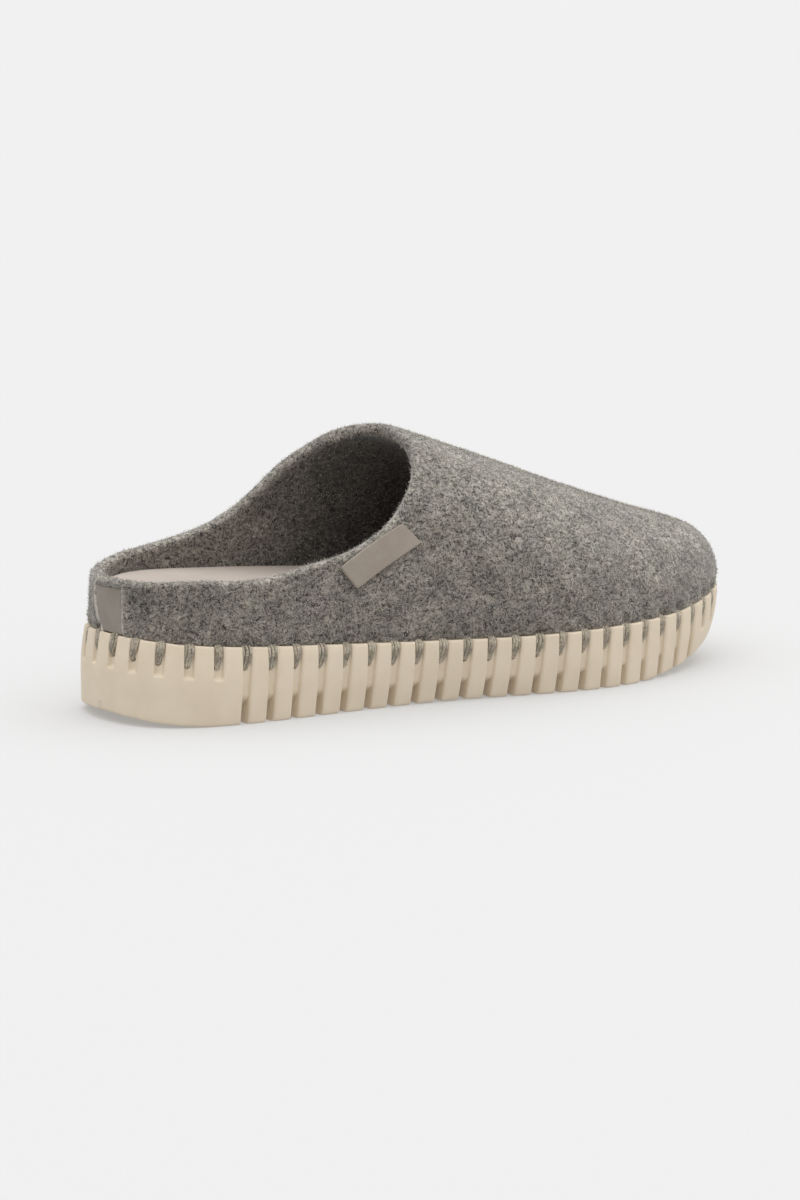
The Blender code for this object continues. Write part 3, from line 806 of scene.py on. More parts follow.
class FinishSheet(NodeSheet):
    """A material under construction, with its Principled shader and object coordinates at hand."""

    def __init__(self, name: str) -> None:
        """Make the material."""
        self.material = bpy.data.materials.new(name)
        self.material.use_nodes = True
        super().__init__(self.material.node_tree)
        self.shader = self.tree.nodes["Principled BSDF"]
        self.place = self.add("ShaderNodeTexCoord").outputs["Object"]

    def effect(self, effect: Effect, **sizes: float) -> bpy.types.bpy_prop_collection:
        """Place a shared group with its own values and return its outputs."""
        node = self.add("ShaderNodeGroup", node_tree=effect.value)
        self.fill(node, "Vector", self.place)
        for key, value in sizes.items():
            self.fill(node, key, value)
        return node.outputs

    def layer(self, name: str) -> bpy.types.NodeSocket:
        """Number stored on the piece's own mesh."""
        return self.add("ShaderNodeAttribute", attribute_name=name).outputs["Fac"]

    def set(self, **constants: object) -> None:
        """Set the shader's own sockets; underscores stand for spaces."""
        for key, value in constants.items():
            self.shader.inputs[key.replace("_", " ")].default_value = value

    def drive(self, key: str, socket: bpy.types.NodeSocket) -> None:
        """Feed one of the shader's sockets with something that varies."""
        self.tree.links.new(socket, self.shader.inputs[key])

    def relief(self, height: bpy.types.NodeSocket, strength: float, distance: float) -> None:
        """Bump the surface."""
        inputs = {"Height": height, "Strength": strength, "Distance": distance}
        self.drive("Normal", self.add("ShaderNodeBump", inputs).outputs[0])


@dataclass(frozen=True)
class WoolFinish:
    """Melange wool: felt, loose fibres or yarn."""

    name: str
    dark: Colour
    light: Colour
    fleck: float
    patch: float
    hue: float
    shade: float
    bump: float
    pale: Colour = (0.74, 0.69, 0.61, 1.0)
    top_light_tint: Colour = (1.36, 1.41, 1.42, 1.0)
    tone_layer: str = ""
    cut_highlight_layer: str = ""
    ply_layer: str = ""
    inside_shade_layer: str = ""
    top_light_layer: str = ""
    inside_shade_level: float = 0.42
    top_light_low: float = 0.05
    top_light_high: float = 0.65
    ply_shade: float = 0.75
    ply_gain: float = 0.4
    ply_height: float = 0.7
    rough_low: float = 0.85
    shine: float = 0.1
    sheen: float = 0.5
    sheen_roughness: float = 0.45
    bump_depth: float = 0.0006

    def material(self) -> bpy.types.Material:
        """Build the material."""
        sheet = FinishSheet(self.name)
        fleck = sheet.effect(Effect.FLECK, Size=self.fleck)
        patch = sheet.effect(Effect.PATCH, Size=self.patch, Hue=self.hue)
        tone = sheet.layer(self.tone_layer) if self.tone_layer else fleck["Fleck"]
        wool = sheet.blend(tone, self.dark, self.light)
        wool = sheet.blend(1.0, wool, patch["Tint"], "MULTIPLY")
        level = sheet.ramp(patch["Patch"], 0.0, 1.0, 1.0 - self.shade, 1.0 + self.shade, soft=False)
        wool = sheet.scaled(wool, level)
        height = fleck["Loft"]
        # pale cut edges: partly the bare fibres' own colour, partly a painted highlight along the frayed
        # edge
        if self.cut_highlight_layer:
            wool = sheet.blend(sheet.layer(self.cut_highlight_layer), wool, self.pale)
        # painted light: faces that look upward are lightened and tinted, standing in for the stronger light
        # from above
        if self.top_light_layer:
            top_lit = sheet.ramp(sheet.layer(self.top_light_layer), self.top_light_low, self.top_light_high, 0.0, 1.0)
            wool = sheet.blend(top_lit, wool, sheet.blend(1.0, wool, self.top_light_tint, "MULTIPLY"))
        # painted shade: the inner face darkens towards the toe cap, where the inside of the shoe lies in
        # shade
        if self.inside_shade_layer:
            shade = sheet.ramp(sheet.layer(self.inside_shade_layer), 0.0, 1.0, 1.0, self.inside_shade_level)
            wool = sheet.scaled(wool, shade)
        # painted shade and light: the strand darkens in the troughs and lightens on the crests of its
        # twist, where the bump sinks and rises
        if self.ply_layer:
            wave = sheet.math("SINE", sheet.layer(self.ply_layer))
            ply = sheet.math("MULTIPLY_ADD", wave, 0.5, 0.5)
            wool = sheet.scaled(wool, sheet.math("MULTIPLY_ADD", ply, self.ply_gain, self.ply_shade))
            height = sheet.math("MULTIPLY_ADD", ply, self.ply_height, height)
        sheet.drive("Base Color", wool)
        sheet.drive("Roughness", sheet.ramp(fleck["Fleck"], 0.0, 1.0, self.rough_low, 1.0, soft=False))
        sheet.set(Sheen_Weight=self.sheen, Sheen_Roughness=self.sheen_roughness)
        sheet.set(Specular_IOR_Level=self.shine)
        sheet.relief(height, self.bump, self.bump_depth)
        return sheet.material


@dataclass(frozen=True)
class SkinFinish:
    """Rubber, leather or suede: an even skin with fine grain and a slow change of tone."""

    name: str
    deep: Colour
    fair: Colour
    grain: float
    pebble: float
    bump: float
    gloss_low: float
    gloss_high: float
    sheen: float = 0.0
    speck: float = 0.0
    glow: float = 0.0
    speck_low: float = 0.2
    speck_high: float = 0.6
    shine: float = 0.35
    sheen_roughness: float = 0.5
    bump_depth: float = 0.0003
    glow_colour: Colour = (1.0, 1.0, 1.0, 1.0)

    def material(self) -> bpy.types.Material:
        """Build the material."""
        sheet = FinishSheet(self.name)
        grain = sheet.effect(Effect.GRAIN, Size=self.grain, Pebble=self.pebble)
        colour = sheet.blend(grain["Tone"], self.deep, self.fair)
        if self.speck:
            low, high = 1.0 - self.speck, 1.0 + self.speck
            level = sheet.ramp(grain["Height"], self.speck_low, self.speck_high, low, high, soft=False)
            colour = sheet.scaled(colour, level)
        sheet.drive("Base Color", colour)
        gloss = sheet.ramp(grain["Height"], 0.0, 1.0, self.gloss_low, self.gloss_high, soft=False)
        sheet.drive("Roughness", gloss)
        sheet.set(Sheen_Weight=self.sheen, Sheen_Roughness=self.sheen_roughness)
        sheet.set(Specular_IOR_Level=self.shine)
        sheet.set(Emission_Color=self.glow_colour, Emission_Strength=self.glow)
        sheet.relief(grain["Height"], self.bump, self.bump_depth)
        return sheet.material


FELT = WoolFinish(
    "grey_wool_felt", dark=(0.034, 0.03, 0.026, 1.0), light=(0.346, 0.31, 0.272, 1.0),
    fleck=0.00074, patch=0.0075, hue=0.08, shade=0.25, bump=0.35,
    cut_highlight_layer="cut_edge_highlight", inside_shade_layer="painted_inside_shade", top_light_layer="upward",
)
# The loose fibres are coloured much paler than the felt they stand off: painted light for the bright fuzz
# along the outlines.
NAP = WoolFinish(
    "loose_wool_fibres", dark=(0.27, 0.25, 0.216, 1.0), light=(0.66, 0.61, 0.53, 1.0),
    fleck=0.0008, patch=0.0075, hue=0.12, shade=0.2, bump=0.1,
    tone_layer="fibre_tone", sheen=0.3,
)
YARN = WoolFinish(
    "greige_wool_yarn", dark=(0.24, 0.21, 0.162, 1.0), light=(0.54, 0.478, 0.382, 1.0),
    fleck=0.0006, patch=0.006, hue=0.1, shade=0.12, bump=0.5,
    ply_layer="ply_run", sheen=0.2,
)
RUBBER = SkinFinish(
    "warm_beige_rubber", deep=(0.712, 0.606, 0.466, 1.0), fair=(0.754, 0.648, 0.505, 1.0),
    grain=0.0006, pebble=0.25, bump=0.06, gloss_low=0.46, gloss_high=0.62,
)
FOOTBED = SkinFinish(
    "footbed_leather", deep=(0.405, 0.347, 0.301, 1.0), fair=(0.435, 0.377, 0.33, 1.0),
    grain=0.0007, pebble=0.6, bump=0.12, gloss_low=0.55, gloss_high=0.75, sheen=0.1,
)
STRIP = SkinFinish(
    "taupe_strip_leather", deep=(0.246, 0.214, 0.18, 1.0), fair=(0.292, 0.258, 0.222, 1.0),
    grain=0.0006, pebble=0.6, bump=0.1, gloss_low=0.42, gloss_high=0.6,
)
LABEL = SkinFinish(
    "taupe_label_suede", deep=(0.287, 0.243, 0.201, 1.0), fair=(0.322, 0.276, 0.231, 1.0),
    grain=0.0005, pebble=0.2, bump=0.35, gloss_low=0.8, gloss_high=0.95, sheen=0.2, speck=0.12,
)
FLOOR = SkinFinish(
    "pale_floor", deep=(0.42, 0.42, 0.42, 1.0), fair=(0.42, 0.42, 0.42, 1.0),
    grain=0.004, pebble=0.2, bump=0.0, gloss_low=0.85, gloss_high=0.95, glow=0.255,
)


@dataclass
class Sole:
    """Rubber sole whose wall carries grooves, lug gaps and the yarn's holes."""

    form: LastForm
    grooves: GrooveLine
    groove_width: float = 3.0
    width_flare: float = 1.0
    flare_start: float = 0.45
    groove_depth: float = 1.5
    gap_depth: float = 6.5
    gap_share: float = 0.27
    gap_softness: float = 0.1
    back_round: float = 0.4
    front_round: float = 1.3
    wall_draft: float = 0.14
    short_length: float = 11.2
    short_end: float = 0.7
    hole_drop: float = 7.3
    hole_radius: float = 0.95
    hole_depth: float = 1.8
    hole_sway: float = -0.7
    hole_core: float = 0.55
    bottom_round: float = 0.9
    top_round: float = 0.55
    round_steps: int = 4
    wall_curve: float = 1.9
    underside_inset: float = 15.0
    top_inset: float = 8.0
    sways: tuple[float, ...] = (0.0, 0.5, 1.0, 1.22, 1.36, 1.5, 1.58, 1.7, 1.9, 2.15, 2.45, 2.8, 3.5)
    drops: tuple[float, ...] = (
        1.2, 2.0, 3.0, 4.2, 5.2, 5.9, 6.4, 6.8, 7.2, 7.6, 8.0, 8.4, 8.9, 9.6, 10.4, 10.9, 11.3, 11.7, 12.2,
    )
    low_rows: int = 13

    def columns(self, side: Side) -> np.ndarray:
        """Share, sway, half pitch, fullness and lean of each column from heel tip to toe tip."""
        reach = self.form.reach(side)
        first = self.grooves.share(side, 1) * reach
        made = [(0.0, -first, first, 0.0, 0.0)]
        for number in range(1, self.grooves.last + 1):
            middle = self.grooves.share(side, number)
            full = float(self.grooves.is_full(number))
            lean = self.grooves.leaning(number)
            before = (middle - self.grooves.share(side, number - 0.5)) * reach if number > 1 else first
            after = (self.grooves.share(side, number + 0.5) - middle) * reach
            back = [-sway for sway in self.sways[:0:-1]]
            ahead = list(self.sways) if number < self.grooves.last else [0.0]
            for sway in back + ahead:
                made.append((middle + sway / reach, sway, before if sway < 0.0 else after, full, lean))
            if number < self.grooves.last:
                made.append((middle + after / reach, after, after, full, lean))
        return np.array(made)

    def levels(self) -> list[tuple[str, float]]:
        """Names and amounts of the rows from the underside up and over the top edge."""
        turns = [QUARTER_TURN * i / self.round_steps for i in range(self.round_steps + 1)]
        rows = [("underside", 0.0)]
        rows += [("bottom", turn) for turn in turns]
        rows += [("low", (i + 1) / (self.low_rows + 1)) for i in range(self.low_rows)]
        rows += [("drop", drop) for drop in reversed(self.drops)]
        rows += [("top", turn) for turn in turns]
        rows += [("inside", 0.0)]
        return rows

    def wall_inset(self, x: np.ndarray, z: np.ndarray) -> np.ndarray:
        """Inset of the plain wall from the sole's widest outline at a place and height."""
        top = smooth(self.form.sole_top, x)
        bottom = smooth(self.form.sole_bottom, x)
        rise = (z - bottom) / (top - bottom)
        widest = smooth(self.form.widest_share, x)
        below = np.clip(1.0 - rise / widest, 0.0, 1.0)
        above = np.clip((rise - widest) / (1.0 - widest), 0.0, 1.0)
        low = smooth(self.form.bottom_tuck, x) * below ** self.wall_curve
        high = smooth(self.form.top_tuck, x) * above ** self.wall_curve
        return low + high

    def row(
        self, kind: str, amount: float, side: Side, columns: np.ndarray
    ) -> tuple[np.ndarray, np.ndarray]:
        """Points of one row of one side and whether grooves cut it.

        Args:
            kind: Name of the row's zone.
            amount: Turn, share or drop that places the row in its zone.
            side: Side of the shoe.
            columns: Table of the side's columns.

        Returns:
            Points, and the factor on the groove depth.
        """
        share = columns[:, 0]
        lean = columns[:, 4] / self.form.reach(side)
        x = self.form.plan_at(side, share, 0.0 * share)[:, 0]
        top = smooth(self.form.sole_top, x)
        bottom = smooth(self.form.sole_bottom, x)
        low = smooth(self.form.bottom_tuck, x)
        high = smooth(self.form.top_tuck, x)
        cut = np.ones_like(x)
        if kind == "underside":
            point = self.form.plan_at(side, share - lean * (top - bottom), low + self.underside_inset)
            return np.column_stack([point, smooth(self.form.sole_bottom, point[:, 0])]), 0.0 * cut
        if kind == "inside":
            point = self.form.plan_at(side, share, high + self.top_inset)
            return np.column_stack([point, smooth(self.form.sole_top, point[:, 0])]), 0.0 * cut
        if kind == "bottom":
            z = bottom + self.bottom_round * (1.0 - math.cos(amount))
        elif kind == "low":
            start = bottom + self.bottom_round
            z = start + (top - self.drops[-1] - start) * amount
        elif kind == "drop":
            z = top - amount
        else:
            z = top - self.top_round * (1.0 - math.sin(amount))
        inset = self.wall_inset(x, z)
        if kind == "bottom":
            inset = inset + self.bottom_round * (1.0 - math.sin(amount))
        if kind == "top":
            inset = inset + self.top_round * (1.0 - math.cos(amount))
        return np.column_stack([self.form.plan_at(side, share - lean * (top - z), inset), z]), cut

    def blank(self) -> bpy.types.Object:
        """Sole without grooves, with the numbers that place them stored on its points."""
        draft = MeshDraft(self.form.length)
        sides = {side: self.columns(side) for side in Side}
        tail = slice(-2, 0, -1)
        names = ("sway", "pitch", "full", "cut", "drop", "rise")
        layers: dict[str, list[np.ndarray]] = {name: [] for name in names}
        ways: dict[str, list[np.ndarray]] = {"inward": [], "onward": []}
        rings = []
        for kind, amount in self.levels():
            points = []
            for side in Side:
                table = sides[side]
                pick = slice(None) if side is Side.OUTER else tail
                spot, cut = self.row(kind, amount, side, table)
                x = self.form.plan_at(side, table[:, 0], 0.0 * table[:, 0])[:, 0]
                top = smooth(self.form.sole_top, x)
                bottom = smooth(self.form.sole_bottom, x)
                facing = self.form.facing(side, table[:, 0])
                turn = 1.0 if side is Side.OUTER else -1.0
                onward = turn * np.column_stack([-facing[:, 1], facing[:, 0]])
                flat = np.zeros((len(table), 1))
                points.append(spot[pick])
                layers["sway"].append(table[pick, 1] * MM)
                layers["pitch"].append(table[pick, 2] * MM)
                layers["full"].append(table[pick, 3])
                layers["cut"].append(cut[pick])
                layers["drop"].append((top - spot[:, 2])[pick] * MM)
                layers["rise"].append(((spot[:, 2] - bottom) / (top - bottom))[pick])
                ways["inward"].append(np.hstack([-facing, flat])[pick])
                ways["onward"].append(np.hstack([onward, flat])[pick])
            rings.append(draft.put(np.concatenate(points)))
        draft.sheet(np.array(rings), closed=True)
        half = len(sides[Side.OUTER])
        for ring in (rings[0], rings[-1]):
            far = np.concatenate([ring[:1], ring[half:][::-1], ring[half - 1:half]])
            draft.strip(ring[:half], far, closed=False)
        stored = {key: np.concatenate(values) for key, values in layers.items()}
        stored |= {key: np.concatenate(values) for key, values in ways.items()}
        return draft.build("sole_blank", stored)

    def groove_tree(self, finish: bpy.types.Material) -> GrowthTree:
        """Tree that presses grooves, lug gaps and yarn holes into the blank."""
        tree = GrowthTree("sole_grooves")
        width = tree.size("Groove Width", self.groove_width * MM)
        flare = tree.size("Width Flare", self.width_flare * MM)
        shallow = tree.size("Groove Depth", self.groove_depth * MM)
        deep = tree.size("Gap Depth", self.gap_depth * MM)
        share = tree.size("Gap Share", self.gap_share)
        soft = tree.size("Gap Softness", self.gap_softness)
        back_round = tree.size("Back Edge Round", self.back_round * MM)
        front_round = tree.size("Front Edge Round", self.front_round * MM)
        draft = tree.size("Wall Draft", self.wall_draft * MM)
        short = tree.size("Short Length", self.short_length * MM)
        end = tree.size("Short End", self.short_end * MM)
        hole_drop = tree.size("Hole Drop", self.hole_drop * MM)
        hole_radius = tree.size("Hole Radius", self.hole_radius * MM)
        hole_depth = tree.size("Hole Depth", self.hole_depth * MM)
        hole_sway = tree.size("Hole Sway", self.hole_sway * MM)
        hole_core = tree.size("Hole Core", self.hole_core)
        flare_start = tree.size("Flare Start", self.flare_start)
        sway = tree.attribute("sway")
        away = tree.math("ABSOLUTE", sway)
        rise = tree.attribute("rise")
        drop = tree.attribute("drop")
        full = tree.attribute("full")
        pitch = tree.attribute("pitch")
        half = tree.math("MULTIPLY", width, 0.5)
        ahead = tree.math("GREATER_THAN", sway, 0.0)
        bevel = tree.math("MULTIPLY_ADD", ahead, tree.math("SUBTRACT", front_round, back_round), back_round)
        gap = tree.ramp(rise, tree.math("SUBTRACT", share, soft), tree.math("ADD", share, soft), 1.0, 0.0)
        full_depth = tree.math("MULTIPLY_ADD", gap, tree.math("SUBTRACT", deep, shallow), shallow)
        stop = tree.ramp(drop, tree.math("SUBTRACT", short, end), tree.math("ADD", short, end), 1.0, 0.0)
        short_depth = tree.math("MULTIPLY", shallow, stop)
        change = tree.math("MULTIPLY", full, tree.math("SUBTRACT", full_depth, short_depth))
        depth = tree.math("ADD", short_depth, change)
        shoulder_depth = tree.math("MINIMUM", depth, bevel)
        outer = tree.math("ADD", half, bevel)
        lean = tree.ramp(away, outer, half, 0.0, 1.0, soft=False)
        arc = tree.math("SQRT", tree.math("SUBTRACT", 1.0, tree.math("MULTIPLY", lean, lean)))
        shoulder = tree.math("MULTIPLY", shoulder_depth, tree.math("SUBTRACT", 1.0, arc))
        foot = tree.ramp(away, half, tree.math("SUBTRACT", half, draft), 0.0, 1.0, soft=False)
        wall = tree.math("MULTIPLY", foot, tree.math("SUBTRACT", depth, shoulder_depth))
        aside = tree.math("DIVIDE", tree.math("SUBTRACT", sway, hole_sway), hole_radius)
        level = tree.math("DIVIDE", tree.math("SUBTRACT", drop, hole_drop), hole_radius)
        square = tree.math("MULTIPLY_ADD", aside, aside, tree.math("MULTIPLY", level, level))
        reach = tree.math("SQRT", square)
        pit = tree.math("MULTIPLY", hole_depth, tree.ramp(reach, hole_core, 1.0, 1.0, 0.0))
        sunk = tree.math("ADD", tree.math("ADD", shoulder, wall), pit)
        total = tree.math("MULTIPLY", tree.attribute("cut"), sunk)
        opening = tree.ramp(rise, flare_start, 1.0, 0.0, 1.0)
        spread = tree.math("MULTIPLY", tree.math("MULTIPLY", flare, 0.5), opening)
        near = tree.math("DIVIDE", away, outer)
        far = tree.math("DIVIDE", tree.math("SUBTRACT", pitch, away), tree.math("SUBTRACT", pitch, outer))
        part = tree.math("MULTIPLY", tree.math("MINIMUM", near, far), tree.math("SIGN", sway))
        shift = tree.math("MULTIPLY", tree.math("MULTIPLY", spread, part), tree.attribute("cut"))
        inward = tree.scaled(tree.attribute("inward", "FLOAT_VECTOR"), total)
        onward = tree.scaled(tree.attribute("onward", "FLOAT_VECTOR"), shift)
        offset = tree.vector("ADD", inward, onward)
        moved = tree.add("GeometryNodeSetPosition", {"Geometry": tree.entry.outputs[0], "Offset": offset})
        tree.close(moved.outputs[0], finish)
        return tree

    def build(self) -> bpy.types.Object:
        """Make the grooved sole."""
        blank = self.blank()
        sole = self.groove_tree(RUBBER.material()).grow(blank, "rubber_sole")
        bpy.data.objects.remove(blank)
        return register(sole, Slot.RUBBER, "outsole")


class RimLoop(NamedTuple):
    """Frame of the rounded collar edge: middle line, ways out and up, half thickness."""

    middle: np.ndarray
    out: np.ndarray
    up: np.ndarray
    half: np.ndarray


@dataclass
class Upper:
    """Hollow felt shell with a rounded collar, pulled in where the yarn enters it."""

    form: LastForm
    grooves: GrooveLine
    columns: int = 300
    rows: int = 46
    row_crowding: float = 1.35
    inner_rows: int = 26
    rim_rows: int = 10
    rim_squareness: float = 0.78
    rim_height: float = 0.95
    seat: float = 0.25
    tuck: float = 0.4
    tuck_height: float = 1.4
    pull: float = 1.2
    pull_height: float = 1.5
    pull_reach: float = 1.5
    swell: float = 0.55
    swell_height: float = 3.2
    swell_reach: float = 3.0
    strip_arc: float = 1.5
    strip_half: float = 8.9
    edge_columns: tuple[float, ...] = (-0.1, 0.12, 0.45, 0.8)
    lip: float = 1.25
    lip_reach: float = 6.0
    lip_start: float = -0.1
    lip_step: float = 0.2
    lip_drop: float = 0.7
    lip_soft: float = 0.4
    fray_middle: float = 0.35
    fray_width: float = 0.65
    fray_low: float = 0.1
    fray_blend: tuple[float, ...] = (0.25, 0.5, 0.25)
    fray_seed: int = 5
    lean: float = 6.6
    outer_lean: float = 1.3
    lean_height: float = 16.0
    lean_reach: float = 7.0
    wander: float = 0.28
    wander_size: float = 14.0
    ripple: float = 0.4
    ripple_scale: float = 2.7
    # Span along the shoe of the painted shade inside the toe cap.
    inside_shade_start: float = 55.0
    inside_shade_end: float = 125.0
    inner_nap: float = 0.35
    low_nap: float = 0.7
    low_nap_height: float = 1.5
    creases: tuple[Crease, ...] = (
        Crease(Side.OUTER, 92.0, 45.0, 26.0, 9.0, 18.0, 0.7),
        Crease(Side.OUTER, 168.0, 47.0, 20.0, 6.0, 62.0, 0.6),
        Crease(Side.OUTER, 196.0, 40.0, 16.0, 5.0, 70.0, 0.45),
        Crease(Side.INNER, 88.0, 50.0, 26.0, 9.0, 22.0, 0.7),
        Crease(Side.INNER, 172.0, 48.0, 18.0, 6.0, 66.0, 0.5),
        Crease(Side.OUTER, 256.0, 41.0, 15.0, 9.0, -30.0, -1.3),
        Crease(Side.INNER, 256.0, 41.0, 15.0, 9.0, -30.0, -1.3),
    )

    @cached_property
    def throat_share(self) -> float:
        """Share whose ribs meet at the trimmed throat."""
        return self.form.share_at_spine(self.form.throat + self.form.throat_trim)

    @cached_property
    def shares(self) -> np.ndarray:
        """Shares of the columns, with extra ones along the strip's edges."""
        before = np.linspace(0.0, self.throat_share, round(self.throat_share * self.columns) + 1)
        after = np.linspace(self.throat_share, 1.0, round((1.0 - self.throat_share) * self.columns) + 1)
        extra = []
        for side, sign in ((Side.INNER, -1.0), (Side.OUTER, 1.0)):
            edge = self.strip_half + sign * self.strip_arc
            extra += [(edge + step) / self.form.reach(side) for step in self.edge_columns]
        return np.unique(np.concatenate([before, after, extra]))

    @cached_property
    def throat_column(self) -> int:
        """Number of the column that meets at the throat."""
        return int(np.argmin(np.abs(self.shares - self.throat_share)))

    def top_angle(self, side: Side) -> np.ndarray:
        """Rib angle of each column's upper end."""
        top = np.zeros_like(self.shares)
        open_part = slice(0, self.throat_column)
        top[open_part] = self.form.collar_angle(side, self.shares[open_part])
        return top

    def signed_arc(self, side: Side, share: np.ndarray) -> np.ndarray:
        """Arcs from the heel, positive on the outer side."""
        return (1.0 if side is Side.OUTER else -1.0) * share * self.form.reach(side)

    def strip_distance(self, arc: np.ndarray) -> np.ndarray:
        """Arc distance outside the heel strip's edge, negative under the strip."""
        return np.abs(arc - self.strip_arc) - self.strip_half

    def swung(self, arc: np.ndarray, height: np.ndarray) -> np.ndarray:
        """Signed arcs drawn aside near the sole, where the strip narrows from its inner edge."""
        inner = np.exp(-((arc - self.strip_arc + self.strip_half) / self.lean_reach) ** 2)
        outer = np.exp(-((arc - self.strip_arc - self.strip_half) / self.lean_reach) ** 2)
        low = np.clip(1.0 - height / self.lean_height, 0.0, 1.0) ** 2
        return arc + (self.lean * inner + self.outer_lean * outer) * low

    def wall_points(self, arc: np.ndarray, angle: np.ndarray, offset: np.ndarray | float) -> np.ndarray:
        """Points of the shell's form at signed arcs."""
        outer_share = np.maximum(arc, 0.0) / self.form.reach(Side.OUTER)
        inner_share = np.maximum(-arc, 0.0) / self.form.reach(Side.INNER)
        outer = self.form.shell(Side.OUTER, outer_share, angle, offset)
        inner = self.form.shell(Side.INNER, inner_share, angle, offset)
        return np.where((arc >= 0.0)[..., None], outer, inner)

    def relief(self, side: Side, arc: np.ndarray, plain: np.ndarray) -> np.ndarray:
        """Depth below the plain form of the felt's outer face.

        Args:
            side: Side of the shoe.
            arc: Signed arcs of the points before they swing aside.
            plain: Points of the plain form, in rows from the sole to the collar.

        Returns:
            Depths; negative ones stand proud.
        """
        height = plain[..., 2] - plain[:, :1, 2]
        nearest = self.grooves.nearest(self.swung(arc, height))
        depth = self.tuck * np.clip(1.0 - height / self.tuck_height, 0.0, 1.0) ** 2
        level = (height - self.pull_height) / self.pull_reach
        depth = depth + self.pull * np.exp(-(nearest / self.pull_reach) ** 2 - level ** 2)
        between = 1.0 - np.exp(-(nearest / self.swell_reach) ** 2)
        band = np.exp(-((height - self.swell_height) / self.swell_reach) ** 2)
        depth = depth - self.swell * between * band
        outside = self.strip_distance(arc)
        below = plain[:, -1:, 2] - plain[..., 2]
        beside = fade(outside, self.lip_start, self.lip_step)
        over = 1.0 - fade(below, self.lip_drop - self.lip_soft, self.lip_drop)
        edge = np.maximum(beside, over)
        depth = depth - self.lip * edge * np.exp(-(np.maximum(outside, 0.0) / self.lip_reach) ** 2)
        for crease in self.creases:
            if crease.side is side:
                turn = math.radians(crease.turn)
                ahead, up = plain[..., 0] - crease.x, plain[..., 2] - crease.z
                along = (ahead * math.cos(turn) + up * math.sin(turn)) / crease.run
                across = (up * math.cos(turn) - ahead * math.sin(turn)) / crease.width
                depth = depth + crease.depth * np.exp(-along ** 2 - across ** 2)
        return depth + self.waver(plain)

    def waver(self, points: np.ndarray) -> np.ndarray:
        """Slow unevenness of thick felt, the same wherever two columns meet."""
        flat = points.reshape(-1, 3) / self.wander_size
        broad = np.array([noise.noise(Vector(spot)) for spot in flat])
        fine = np.array([noise.noise(Vector(self.ripple_scale * spot)) for spot in flat])
        return self.wander * (broad + self.ripple * fine).reshape(points.shape[:-1])

    def wall_grid(
        self, side: Side, top: np.ndarray, rows: int, crowding: float, inside: bool
    ) -> np.ndarray:
        """Grid of one side's outer or inner face, columns by rows from the sole up."""
        share = self.shares[:, None]
        rise = (np.arange(rows + 1) / rows) ** crowding
        angle = QUARTER_TURN + (top[:, None] - QUARTER_TURN) * rise
        if inside:
            plain = self.form.shell(side, share, angle, self.form.wall)
            grid = self.form.shell(side, share, angle, self.form.wall + self.waver(plain))
        else:
            arc = self.signed_arc(side, share) + 0.0 * angle
            plain = self.wall_points(arc, angle, 0.0)
            height = plain[..., 2] - plain[:, :1, 2]
            grid = self.wall_points(self.swung(arc, height), angle, self.relief(side, arc, plain))
        grid[:, 0, 2] -= self.seat
        return grid

    def joined(self, draft: MeshDraft, grids: dict[Side, np.ndarray]) -> np.ndarray:
        """Put both sides' grids in the draft and share the points on heel, toe and spine.

        Args:
            draft: Draft that takes the points.
            grids: Points of each side, columns by rows.

        Returns:
            Point numbers of the columns round the shoe, rows first.
        """
        outer = draft.put(grids[Side.OUTER])
        inner = draft.put(grids[Side.INNER][1:-1])
        spine = self.form.spine_x(self.shares)
        pole = int(np.argmax(spine >= self.form.toe_pole))
        outer[pole:, -1] = outer[pole, -1]
        for k in range(self.throat_column, len(self.shares) - 1):
            inner[k - 1, -1] = outer[k, -1]
        return np.concatenate([outer, inner[::-1]]).T

    def rim_loop(self, outside: np.ndarray, inside: np.ndarray) -> RimLoop:
        """Frame of the collar's rounded edge from the loops of both faces' upper ends."""
        middle = 0.5 * (outside + inside)
        out = unit(outside - inside)
        onward = unit(np.roll(middle, -1, 0) - np.roll(middle, 1, 0))
        up = unit(np.cross(out, onward))
        half = 0.5 * np.linalg.norm(outside - inside, axis=1)
        return RimLoop(middle, out, up, half)

    def rim_point(self, loop: RimLoop, turn: float) -> np.ndarray:
        """Points of the rounded edge at a turn from the outer face over to the inner face."""
        side = math.copysign(abs(math.cos(turn)) ** self.rim_squareness, math.cos(turn))
        rise = self.rim_height * math.sin(turn) ** self.rim_squareness
        half = loop.half[:, None]
        return loop.middle + loop.out * half * side + loop.up * half * rise

